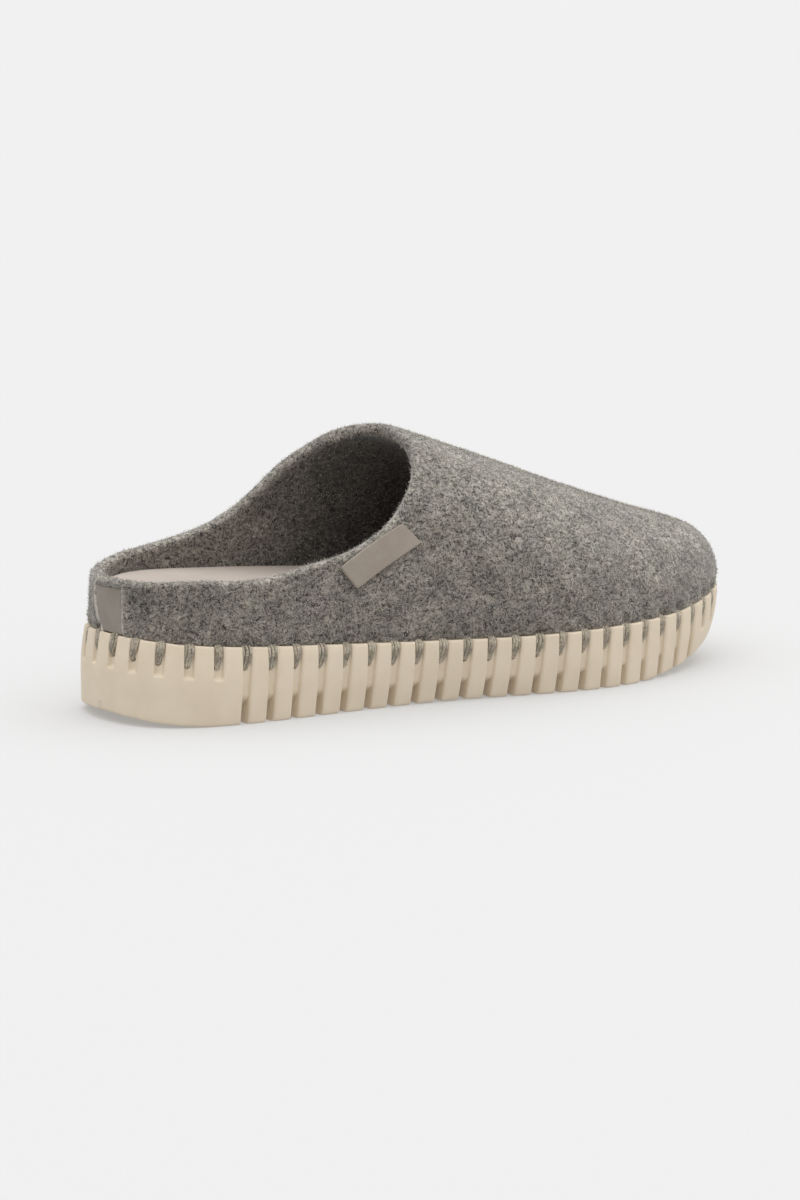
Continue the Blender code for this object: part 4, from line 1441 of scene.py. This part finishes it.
    def build(self) -> bpy.types.Object:
        """Make the shell."""
        draft = MeshDraft(self.form.length)
        tops = {side: self.top_angle(side) for side in Side}
        outer_grids = {
            side: self.wall_grid(side, tops[side], self.rows, self.row_crowding, False) for side in Side
        }
        inner_grids = {side: self.wall_grid(side, tops[side], self.inner_rows, 1.0, True) for side in Side}
        outside = self.joined(draft, outer_grids)
        inside = self.joined(draft, inner_grids)
        draft.sheet(outside, closed=True)
        draft.sheet(inside, closed=True)
        draft.strip(outside[0], inside[0], closed=True)
        last = self.throat_column
        count = outside.shape[1]
        loop = np.concatenate([np.arange(last + 1), np.arange(count - last + 1, count)])
        points = np.concatenate(draft.points)
        frame_loop = self.rim_loop(points[outside[-1][loop]], points[inside[-1][loop]])
        rings = [outside[-1][loop]]
        for i in range(1, self.rim_rows):
            turn = math.pi * i / self.rim_rows
            rings.append(draft.put(self.rim_point(frame_loop, turn)))
        rings.append(inside[-1][loop])
        draft.sheet(np.array(rings), closed=True)
        layers = {
            "cut_edge_highlight": self.cut_edge_highlight(draft),
            "nap": self.nap_density(draft),
            "painted_inside_shade": self.painted_inside_shade(draft),
        }
        shell = draft.build("felt_upper", layers)
        self.mark_top_light(shell)
        shell.data.materials.append(FELT.material())
        return register(shell, Slot.FELT, "upper")

    def mark_top_light(self, shell: bpy.types.Object) -> None:
        """Store how far each point looks upward, where the felt's finish paints light on the upward faces.
        """
        facing = np.zeros(3 * len(shell.data.vertices), dtype=np.float32)
        shell.data.vertices.foreach_get("normal", facing)
        layer = shell.data.attributes.new("upward", "FLOAT", "POINT")
        layer.data.foreach_set("value", np.clip(facing[2::3], 0.0, 1.0))

    def cut_edge_highlight(self, draft: MeshDraft) -> np.ndarray:
        """Share of pale cut edge at each point, along both sides of the heel strip: the bare fibres' own
        paler colour with a painted highlight on the frayed edge.
        """
        values = np.zeros(draft.count)
        columns = len(self.shares)
        chance = np.random.default_rng(self.fray_seed)
        for side, start in ((Side.OUTER, 0), (Side.INNER, columns * (self.rows + 1))):
            share = self.shares if side is Side.OUTER else self.shares[1:-1]
            outside = self.strip_distance(self.signed_arc(side, share))
            edge = np.exp(-((outside - self.fray_middle) / self.fray_width) ** 2)
            worn = chance.uniform(self.fray_low, 1.0, self.rows + len(self.fray_blend))
            wear = np.convolve(worn, self.fray_blend, "valid")
            block = np.outer(edge, wear).ravel()
            values[start:start + len(block)] = block
        return values

    @property
    def inner_points(self) -> slice:
        """Places of the inner face's points in the draft."""
        columns = 2 * len(self.shares) - 2
        return slice(columns * (self.rows + 1), columns * (self.rows + self.inner_rows + 2))

    def painted_inside_shade(self, draft: MeshDraft) -> np.ndarray:
        """How far into the toe cap each point of the inner face lies; the felt's finish darkens it there as
        painted shade.
        """
        values = np.zeros(draft.count)
        ahead = np.concatenate(draft.points)[self.inner_points, 0]
        values[self.inner_points] = fade(ahead, self.inside_shade_start, self.inside_shade_end)
        return values

    def nap_density(self, draft: MeshDraft) -> np.ndarray:
        """Density of loose fibres: full on the outer face and the rim, thin inside and at the sole."""
        points = np.concatenate(draft.points)
        values = np.ones(draft.count)
        values[self.inner_points] = self.inner_nap
        low = smooth(self.form.sole_top, points[:, 0]) + self.low_nap_height
        values[points[:, 2] < low] = self.low_nap
        return values


@dataclass
class Nap:
    """Loose fibres that stand off the felt."""

    name: str = "felt_nap"
    density: float = 430000.0
    length: float = 2.0
    thickness: float = 0.13
    lift_low: float = 0.12
    lift_high: float = 0.75
    bend: float = 0.35
    shortest: float = 0.45
    longest: float = 1.25
    corners: int = 3
    segments: int = 2
    seed: int = 7
    lift_seed: int = 11
    spin_seed: int = 12
    size_seed: int = 13
    tone_seed: int = 14

    def tree(self, finish: bpy.types.Material) -> GrowthTree:
        """Tree that scatters bent, pointed fibres over a surface."""
        tree = GrowthTree(self.name)
        density = tree.size("Density", self.density)
        length = tree.size("Fibre Length", self.length * MM)
        thickness = tree.size("Fibre Thickness", self.thickness * MM)
        low = tree.size("Lowest Lift", self.lift_low)
        high = tree.size("Highest Lift", self.lift_high)
        bend = tree.size("Bend", self.bend)
        shortest = tree.size("Shortest Share", self.shortest)
        longest = tree.size("Longest Share", self.longest)
        segments = tree.size("Fibre Segments", self.segments, "NodeSocketInt")
        seed = tree.size("Seed", self.seed, "NodeSocketInt")
        amount = tree.math("MULTIPLY", density, tree.attribute("nap"))
        scatter = {"Mesh": tree.entry.outputs[0], "Density": amount, "Seed": seed}
        spots = tree.add("GeometryNodeDistributePointsOnFaces", scatter)
        cone = tree.add("GeometryNodeMeshCone", {
            "Vertices": self.corners, "Side Segments": segments, "Radius Top": 0.0, "Depth": length,
            "Radius Bottom": tree.math("MULTIPLY", thickness, 0.5),
        })
        place = tree.add("GeometryNodeInputPosition").outputs[0]
        height = tree.add("ShaderNodeSeparateXYZ", {0: place}).outputs[2]
        share = tree.math("DIVIDE", height, length)
        curve = tree.math("MULTIPLY", tree.math("MULTIPLY", share, share), bend)
        sag = tree.add("ShaderNodeCombineXYZ", {0: tree.math("MULTIPLY", curve, length)}).outputs[0]
        bent = tree.add("GeometryNodeSetPosition", {"Geometry": cone.outputs[0], "Offset": sag})
        tilt = tree.math("SUBTRACT", QUARTER_TURN, tree.random(low, high, self.lift_seed))
        spin = tree.random(0.0, 2.0 * math.pi, self.spin_seed)
        turned = tree.rotate(spots.outputs["Rotation"], 2, spin)
        laid = tree.rotate(turned, 1, tilt)
        size = tree.random(shortest, longest, self.size_seed)
        fibres = tree.add("GeometryNodeInstanceOnPoints", {
            "Points": spots.outputs["Points"], "Instance": bent.outputs[0], "Rotation": laid,
            "Scale": tree.add("ShaderNodeCombineXYZ", {0: 1.0, 1: 1.0, 2: size}).outputs[0],
        })
        tone = tree.random(0.0, 1.0, self.tone_seed)
        toned = tree.store(fibres.outputs[0], "fibre_tone", tone, "INSTANCE")
        tree.close(toned, finish)
        return tree

    def build(self, shell: bpy.types.Object, finish: bpy.types.Material) -> bpy.types.Object:
        """Grow the fibres on the felt shell."""
        fibres = self.tree(finish).grow(shell, self.name, ("fibre_tone",))
        return register(fibres, Slot.FELT)


class Stitch(NamedTuple):
    """One stitch: its place on the sole's edge, and how it strays from the even pattern."""

    side: Side
    share: float
    x: float
    top: float
    felt: float
    slant: float
    width: float
    drop: float


@dataclass
class Stitches:
    """Yarn stitches that sew the felt to the sole, each of a few strands laid side by side."""

    form: LastForm
    grooves: GrooveLine
    sole: Sole
    upper: Upper
    strands: tuple[float, ...] = (-1.0, 0.0, 1.0)
    strand_gap: float = 1.08
    strand_radius: float = 0.66
    taper: float = 0.72
    knees: tuple[YarnKnee, ...] = (
        YarnKnee(2.6, 0.3, 0.6), YarnKnee(1.3, 0.2, 0.8), YarnKnee(0.2, -0.4, 0.95),
        YarnKnee(-0.6, -1.4, 1.0), YarnKnee(-0.75, -2.7, 1.04), YarnKnee(-0.62, -4.6, 0.96),
        YarnKnee(-0.4, -6.2, 0.76), YarnKnee(0.3, -7.3, 0.52), YarnKnee(1.9, -7.6, 0.36),
    )
    tip_sway: float = -1.1
    tip_start: float = 1.0
    tip_end: float = 7.0
    felt_knees: int = 3
    step_in: float = 0.9
    crown: float = 0.22
    unevenness: float = 0.16
    slant_share: float = 0.2
    drop_share: float = 0.3
    rings: int = 22
    sides: int = 9
    wobble: float = 0.16
    wobble_scale: float = 620.0
    twist: float = 0.9
    seed: int = 21

    def places(self) -> list[Stitch]:
        """All stitches, each with its own small unevenness."""
        chance = np.random.default_rng(self.seed)
        made = []
        for side, share in self.grooves.places():
            x = float(self.form.plan_at(side, np.array(share), np.array(0.0))[0])
            top = float(smooth(self.form.sole_top, x))
            outside = float(self.upper.strip_distance(self.upper.signed_arc(side, np.array(share))))
            proud = self.upper.lip * float(np.exp(-(max(outside, 0.0) / self.upper.lip_reach) ** 2))
            felt = float(smooth(self.form.shell_inset, x)) - proud
            slant, width, drop = chance.normal(0.0, self.unevenness, 3)
            made.append(Stitch(side, share, x, top, felt, slant, width, drop))
        return made

    def knee_point(self, stitch: Stitch, strand: float, number: int) -> tuple[float, float, float]:
        """Point of one strand at one of its knees.

        Args:
            stitch: Stitch that the strand belongs to.
            strand: Place of the strand in the stitch, from -1 to 1.
            number: Number of the knee.

        Returns:
            The point in the row frame, in millimetres.
        """
        knee = self.knees[number]
        reach = self.form.reach(stitch.side)
        level = np.array(stitch.top + min(knee.rise, 0.0))
        groove = float(self.sole.wall_inset(np.array(stitch.x), level)) + self.sole.groove_depth
        below = min(groove, stitch.felt + self.step_in * number)
        surface = stitch.felt if number < self.felt_knees else below
        inset = surface + knee.depth - self.crown * (1.0 - abs(strand))
        tip = self.tip_sway * float(fade(np.array(-knee.rise), self.tip_start, self.tip_end))
        aside = strand * self.strand_gap * knee.spread * (1.0 + stitch.width)
        sway = aside + stitch.slant * knee.rise * self.slant_share + tip
        side, share = stitch.side, stitch.share + sway / reach
        if share > 1.0:
            side, share = Side.INNER, 2.0 - stitch.share - sway / reach
        plan = self.form.plan_at(side, np.array(share), np.array(inset))
        rise = knee.rise * (1.0 + self.drop_share * stitch.drop * (knee.rise < 0.0))
        return plan[0] - 0.5 * self.form.length, plan[1], stitch.top + rise

    def paths(self) -> bpy.types.Object:
        """Middle lines of all strands as loose edges, with each point's thickness."""
        points, edges, thick = [], [], []
        last = len(self.knees) - 1
        for stitch in self.places():
            for strand in self.strands:
                start = len(points)
                for number in range(last + 1):
                    points.append(self.knee_point(stitch, strand, number))
                    down = number / last
                    thick.append(self.strand_radius * (1.0 + (self.taper - 1.0) * down))
                edges += [(i, i + 1) for i in range(start, len(points) - 1)]
        mesh = bpy.data.meshes.new("yarn_lines")
        mesh.from_pydata((np.array(points) * MM).tolist(), edges, [])
        layer = mesh.attributes.new("thick", "FLOAT", "POINT")
        layer.data.foreach_set("value", np.array(thick, dtype=np.float32) * MM)
        lines = bpy.data.objects.new("yarn_lines", mesh)
        bpy.context.scene.collection.objects.link(lines)
        return lines

    def tree(self, finish: bpy.types.Material) -> GrowthTree:
        """Tree that turns the lines into soft round strands with a twisted ply."""
        tree = GrowthTree("yarn_strands")
        rings = tree.size("Rings", self.rings, "NodeSocketInt")
        sides = tree.size("Sides", self.sides, "NodeSocketInt")
        wobble = tree.size("Wobble", self.wobble * MM)
        wobble_scale = tree.size("Wobble Scale", self.wobble_scale)
        twist = tree.size("Twist", self.twist)
        lines = tree.add("GeometryNodeMeshToCurve", {"Mesh": tree.entry.outputs[0]}).outputs[0]
        soft = tree.add("GeometryNodeCurveSplineType", {"Curve": lines}, spline_type="CATMULL_ROM")
        even = tree.add("GeometryNodeResampleCurve", {"Curve": soft.outputs[0], "Count": rings}).outputs[0]
        place = tree.add("GeometryNodeInputPosition").outputs[0]
        waver = tree.noise(place, wobble_scale, 1.0, 0.5).outputs["Color"]
        way = tree.vector("SUBTRACT", waver, NOISE_MIDDLE)
        drift = tree.scaled(way, tree.math("MULTIPLY", wobble, 2.0))
        moved = tree.add("GeometryNodeSetPosition", {"Geometry": even, "Offset": drift}).outputs[0]
        run = tree.add("GeometryNodeSplineParameter").outputs["Length"]
        marked = tree.store(moved, "run", tree.math("DIVIDE", run, MM))
        ring = tree.add("GeometryNodeCurvePrimitiveCircle", {"Resolution": sides, "Radius": 1.0}).outputs[0]
        round_share = tree.add("GeometryNodeSplineParameter").outputs["Factor"]
        profile = tree.store(ring, "around", round_share)
        strands = tree.add("GeometryNodeCurveToMesh", {
            "Curve": marked, "Profile Curve": profile, "Scale": tree.attribute("thick"), "Fill Caps": True,
        }).outputs[0]
        angle = tree.math("MULTIPLY", tree.attribute("around"), 2.0 * math.pi)
        ply = tree.math("MULTIPLY_ADD", tree.attribute("run"), twist, angle)
        tree.close(tree.store(strands, "ply_run", ply), finish)
        return tree

    def build(self) -> bpy.types.Object:
        """Make all stitches as one piece."""
        lines = self.paths()
        yarn = self.tree(YARN.material()).grow(lines, "yarn_stitches", ("ply_run",))
        bpy.data.objects.remove(lines)
        return register(yarn, Slot.FELT)


@dataclass
class Footbed:
    """Cushioned footbed with a rounded edge and a shallow dish."""

    form: LastForm
    columns: int = 170
    across: int = 22
    edge_width: float = 2.6
    edge_drop: float = 2.4
    edge_steps: int = 5
    dish: float = 0.9
    dish_width: float = 60.0
    fill: float = 0.9

    def edge_ring(self, side: Side, share: np.ndarray, rise: float, inset: float) -> np.ndarray:
        """Points beside the shell's inner face at one rise from the footbed's top."""
        depth = self.form.wall + self.form.fit_gap
        foot = self.form.shell(side, share, np.full_like(share, QUARTER_TURN), depth)
        height = smooth(self.form.footbed_top, foot[:, 0]) + rise
        low = np.zeros_like(share)
        high = np.full_like(share, QUARTER_TURN)
        for _ in range(self.form.root_steps):
            middle = 0.5 * (low + high)
            above = self.form.shell(side, share, middle, depth + inset)[:, 2] > height
            low = np.where(above, middle, low)
            high = np.where(above, high, middle)
        point = self.form.shell(side, share, 0.5 * (low + high), depth + inset)
        point[:, 2] = height
        return point

    def build(self) -> bpy.types.Object:
        """Make the footbed."""
        draft = MeshDraft(self.form.length)
        share = np.linspace(0.0, 1.0, self.columns + 1)
        depth = self.form.wall + self.form.fit_gap
        profile = []
        for i in range(self.edge_steps + 1):
            turn = QUARTER_TURN * i / self.edge_steps
            inset = self.edge_width * (1.0 - math.cos(turn))
            profile.append((inset, -self.edge_drop * (1.0 - math.sin(turn))))
        rings = {}
        for side in Side:
            foot = self.form.shell(side, share, np.full_like(share, QUARTER_TURN), depth)
            rings[side] = [foot] + [self.edge_ring(side, share, rise, inset) for inset, rise in profile]
        numbers = []
        for outer, inner in zip(rings[Side.OUTER], rings[Side.INNER]):
            numbers.append(draft.put(np.concatenate([outer, inner[-2:0:-1]])))
        draft.sheet(np.array(numbers), closed=True)
        count = self.columns + 1
        base = numbers[0]
        far = np.concatenate([base[:1], base[count:][::-1], base[count - 1:count]])
        draft.strip(base[:count], far, closed=False)
        last = numbers[-1]
        lanes = [last[:count]]
        outer, inner = rings[Side.OUTER][-1], rings[Side.INNER][-1]
        spread = np.linalg.norm(outer - inner, axis=1) / self.dish_width
        for i in range(1, self.across):
            t = i / self.across
            lane = outer * (1.0 - t) + inner * t
            lane[:, 2] -= self.dish * 4.0 * t * (1.0 - t) * np.clip(spread, 0.0, 1.0)
            made = draft.put(lane[1:-1])
            lanes.append(np.concatenate([last[:1], made, last[count - 1:count]]))
        lanes.append(np.concatenate([last[:1], last[count:][::-1], last[count - 1:count]]))
        draft.sheet(np.array(lanes), closed=False)
        bed = draft.build("soft_footbed")
        bed.data.materials.append(FOOTBED.material())
        return register(bed, Slot.FOOTBED, "insole")


def closed_patch(draft: MeshDraft, under: np.ndarray, over: np.ndarray) -> None:
    """Close a sheet of two faces given as grids of points, round its rim."""
    low, high = draft.put(under), draft.put(over)
    draft.sheet(low, closed=False)
    draft.sheet(high, closed=False)
    rims = []
    for grid in (low, high):
        rims.append(np.concatenate([grid[0, :-1], grid[:-1, -1], grid[-1, :0:-1], grid[:0:-1, 0]]))
    draft.strip(rims[0], rims[1], closed=True)


@dataclass
class HeelStrip:
    """Smooth strip at the middle of the heel, set a little below the felt's cut edges."""

    form: LastForm
    upper: Upper
    columns: int = 28
    rows: int = 30
    foot: float = 0.4
    head: float = 0.6
    seat: float = 0.12
    thickness: float = 0.7
    edge: float = 0.9
    edge_share: float = 0.35
    bulge: float = 0.3
    play: float = 0.12

    def column(self, arc: float, lift: float, swell: float) -> np.ndarray:
        """Points of one column from the sole up to the felt's lip under the rim."""
        side = Side.OUTER if arc >= 0.0 else Side.INNER
        share = np.array([abs(arc) / self.form.reach(side)])
        foot = self.upper.wall_points(np.array([arc]), np.array([QUARTER_TURN]), 0.0)[0]
        slope = float(smooth(self.form.roof, foot[0])) - foot[2]
        start = QUARTER_TURN - self.foot / slope
        end = float(self.form.collar_angle(side, share)[0]) + self.head / slope
        rise = np.linspace(0.0, 1.0, self.rows + 1)
        angle = start + (end - start) * rise
        arcs = np.full_like(angle, arc)
        height = self.upper.wall_points(arcs, angle, 0.0)[:, 2] - foot[2]
        proud = lift + swell * np.sin(math.pi * rise)
        return self.upper.wall_points(self.upper.swung(arcs, height), angle, -proud)

    def build(self) -> bpy.types.Object:
        """Make the strip."""
        draft = MeshDraft(self.form.length)
        centre, half = self.upper.strip_arc, self.upper.strip_half - self.play
        under, over = [], []
        for i in range(self.columns + 1):
            across = math.sin(QUARTER_TURN * (2.0 * i / self.columns - 1.0))
            arc = centre + half * across
            rim_gap = half * (1.0 - abs(across))
            crown = math.sqrt(max(0.0, 1.0 - max(0.0, 1.0 - rim_gap / self.edge) ** 2))
            under.append(self.column(arc, self.seat, 0.0))
            lift = self.seat + self.thickness * (self.edge_share + (1.0 - self.edge_share) * crown)
            over.append(self.column(arc, lift, self.bulge * (1.0 - across * across)))
        closed_patch(draft, np.array(under), np.array(over))
        strip = draft.build("heel_strip_leather")
        strip.data.materials.append(STRIP.material())
        return register(strip, Slot.STRIP, "heel_strip")


@dataclass
class Label:
    """Small blank tab below the collar on the outer side."""

    form: LastForm
    arc: float = 116.7
    angle: float = 67.5
    turn: float = 26.5
    skew: float = 14.0
    length: float = 30.0
    width: float = 10.0
    thickness: float = 1.2
    seat: float = 0.25
    edge: float = 0.35
    edge_share: float = 0.6
    corner: float = 0.8
    corner_power: int = 8
    columns: int = 44
    rows: int = 18
    nudge: float = 0.005

    def spot(self, share: float, angle: float, offset: float) -> np.ndarray:
        """Point of the shell's form on the outer side."""
        return self.form.shell(Side.OUTER, np.array(share), np.array(angle), offset)

    def build(self) -> bpy.types.Object:
        """Make the tab on the shell's own face."""
        share = self.arc / self.form.reach(Side.OUTER)
        angle = math.radians(self.angle)
        middle = self.spot(share, angle, 0.0)
        along = (self.spot(share + self.nudge, angle, 0.0) - middle) / self.nudge
        upward = (self.spot(share, angle - self.nudge, 0.0) - middle) / self.nudge
        facing = unit(np.cross(along, upward))
        level = unit(np.cross((0.0, 0.0, 1.0), facing))
        rising = np.cross(facing, level)
        turn = math.radians(self.turn)
        length_way = level * math.cos(turn) + rising * math.sin(turn)
        slant = turn + math.radians(self.skew)
        width_way = (rising * math.cos(slant) - level * math.sin(slant)) / math.cos(slant - turn)
        frame_ways = np.stack([along, upward], axis=1)
        under = np.zeros((self.columns + 1, self.rows + 1, 3))
        over = np.zeros_like(under)
        for i in range(self.columns + 1):
            for j in range(self.rows + 1):
                a = math.sin(QUARTER_TURN * (2.0 * i / self.columns - 1.0))
                b = math.sin(QUARTER_TURN * (2.0 * j / self.rows - 1.0))
                inset = min(0.5 * self.length * (1.0 - abs(a)), 0.5 * self.width * (1.0 - abs(b)))
                crown = math.sqrt(max(0.0, 1.0 - max(0.0, 1.0 - inset / self.edge) ** 2))
                pull = 1.0 - self.corner / self.length * (a * b) ** self.corner_power
                move = pull * (0.5 * self.length * a * length_way + 0.5 * self.width * b * width_way)
                ahead, up = np.linalg.lstsq(frame_ways, move, rcond=None)[0]
                proud = self.seat + self.thickness * (self.edge_share + (1.0 - self.edge_share) * crown)
                under[i, j] = self.spot(share + ahead, angle - up, -self.seat)
                over[i, j] = self.spot(share + ahead, angle - up, -proud)
        draft = MeshDraft(self.form.length)
        closed_patch(draft, under, over)
        tab = draft.build("blank_label")
        tab.data.materials.append(LABEL.material())
        return register(tab, Slot.LABEL, "label")


@dataclass
class Studio:
    """Pale floor, soft light from above and the camera."""

    form: LastForm
    floor_radius: float = 14.0
    floor_segments: int = 96
    glow_start: float = 0.3
    horizon: float = 0.3
    zenith: float = 2.2
    toe_light: float = 0.4
    toe_focus: float = 2.0
    toe_way: tuple[float, float, float] = (0.94, -0.1, 0.33)
    azimuth: float = -33.879
    elevation: float = 10.149
    distance: float = 2000.0
    scale: float = 2.757
    aside: float = -4.961
    height: float = 29.207
    ahead: float = 3.5
    picture_height: float = 1200.0
    sensor: float = 36.0
    nearest: float = 0.05
    farthest: float = 60.0

    def floor(self) -> None:
        """Make the floor, level with the sole's underside."""
        mesh = bpy.data.meshes.new("floor")
        work = bmesh.new()
        bmesh.ops.create_circle(work, cap_ends=True, radius=self.floor_radius, segments=self.floor_segments)
        work.to_mesh(mesh)
        work.free()
        mesh.materials.append(FLOOR.material())
        plane = bpy.data.objects.new("floor", mesh)
        bpy.context.scene.collection.objects.link(plane)

    def light(self) -> None:
        """Surround the scene with a soft light that grows towards the zenith and the toe's side."""
        world = bpy.data.worlds.new("soft_studio")
        world.use_nodes = True
        bpy.context.scene.world = world
        sheet = NodeSheet(world.node_tree)
        back = world.node_tree.nodes["Background"]
        way = sheet.add("ShaderNodeTexCoord").outputs["Generated"]
        up = sheet.add("ShaderNodeSeparateXYZ", {0: way}).outputs[2]
        glow = sheet.ramp(up, self.glow_start, 1.0, self.horizon, self.zenith)
        facing = sheet.add("ShaderNodeVectorMath", {0: way, 1: self.toe_way}, operation="DOT_PRODUCT")
        towards = sheet.math("MAXIMUM", facing.outputs["Value"], 0.0)
        ahead = sheet.math("POWER", towards, self.toe_focus)
        sheet.fill(back, "Color", (1.0, 1.0, 1.0, 1.0))
        sheet.fill(back, "Strength", sheet.math("MULTIPLY_ADD", ahead, self.toe_light, glow))
        bpy.context.scene.view_settings.view_transform = "Standard"

    def camera(self) -> None:
        """Place the camera at the photo's angle and framing."""
        turn, tilt = math.radians(self.azimuth), math.radians(self.elevation)
        target = Vector((
            math.cos(turn) * self.aside + self.ahead,
            math.sin(turn) * self.aside + self.form.centre_line,
            self.height,
        ))
        back = Vector((math.sin(turn) * math.cos(tilt), -math.cos(turn) * math.cos(tilt), math.sin(tilt)))
        lens = bpy.data.cameras.new("camera")
        lens.sensor_width = self.sensor
        lens.lens = self.scale * self.distance * self.sensor / self.picture_height
        lens.clip_start = self.nearest
        lens.clip_end = self.farthest
        eye = bpy.data.objects.new("camera", lens)
        eye.location = (target + back * self.distance) * MM
        eye.rotation_mode = "QUATERNION"
        eye.rotation_quaternion = (-back).to_track_quat("-Z", "Y")
        bpy.context.scene.collection.objects.link(eye)
        bpy.context.scene.camera = eye

    def build(self) -> None:
        """Set up the studio."""
        self.floor()
        self.light()
        self.camera()


def main() -> None:
    """Build the slipper piece by piece and set up the studio."""
    logging.basicConfig(level=logging.INFO, format="%(message)s")
    form = LastForm()
    grooves = GrooveLine(form)
    sole = Sole(form, grooves)
    upper = Upper(form, grooves)
    sole.build()
    shell = upper.build()
    loose = NAP.material()
    Nap().build(shell, loose)
    Nap(
        "felt_fuzz", density=1080000.0, length=1.2, thickness=0.2, lift_low=0.3, lift_high=1.25, bend=0.0,
        segments=1, seed=19,
    ).build(shell, loose)
    Stitches(form, grooves, sole, upper).build()
    Footbed(form).build()
    HeelStrip(form, upper).build()
    Label(form).build()
    Studio(form).build()


if __name__ == "__main__":
    main()
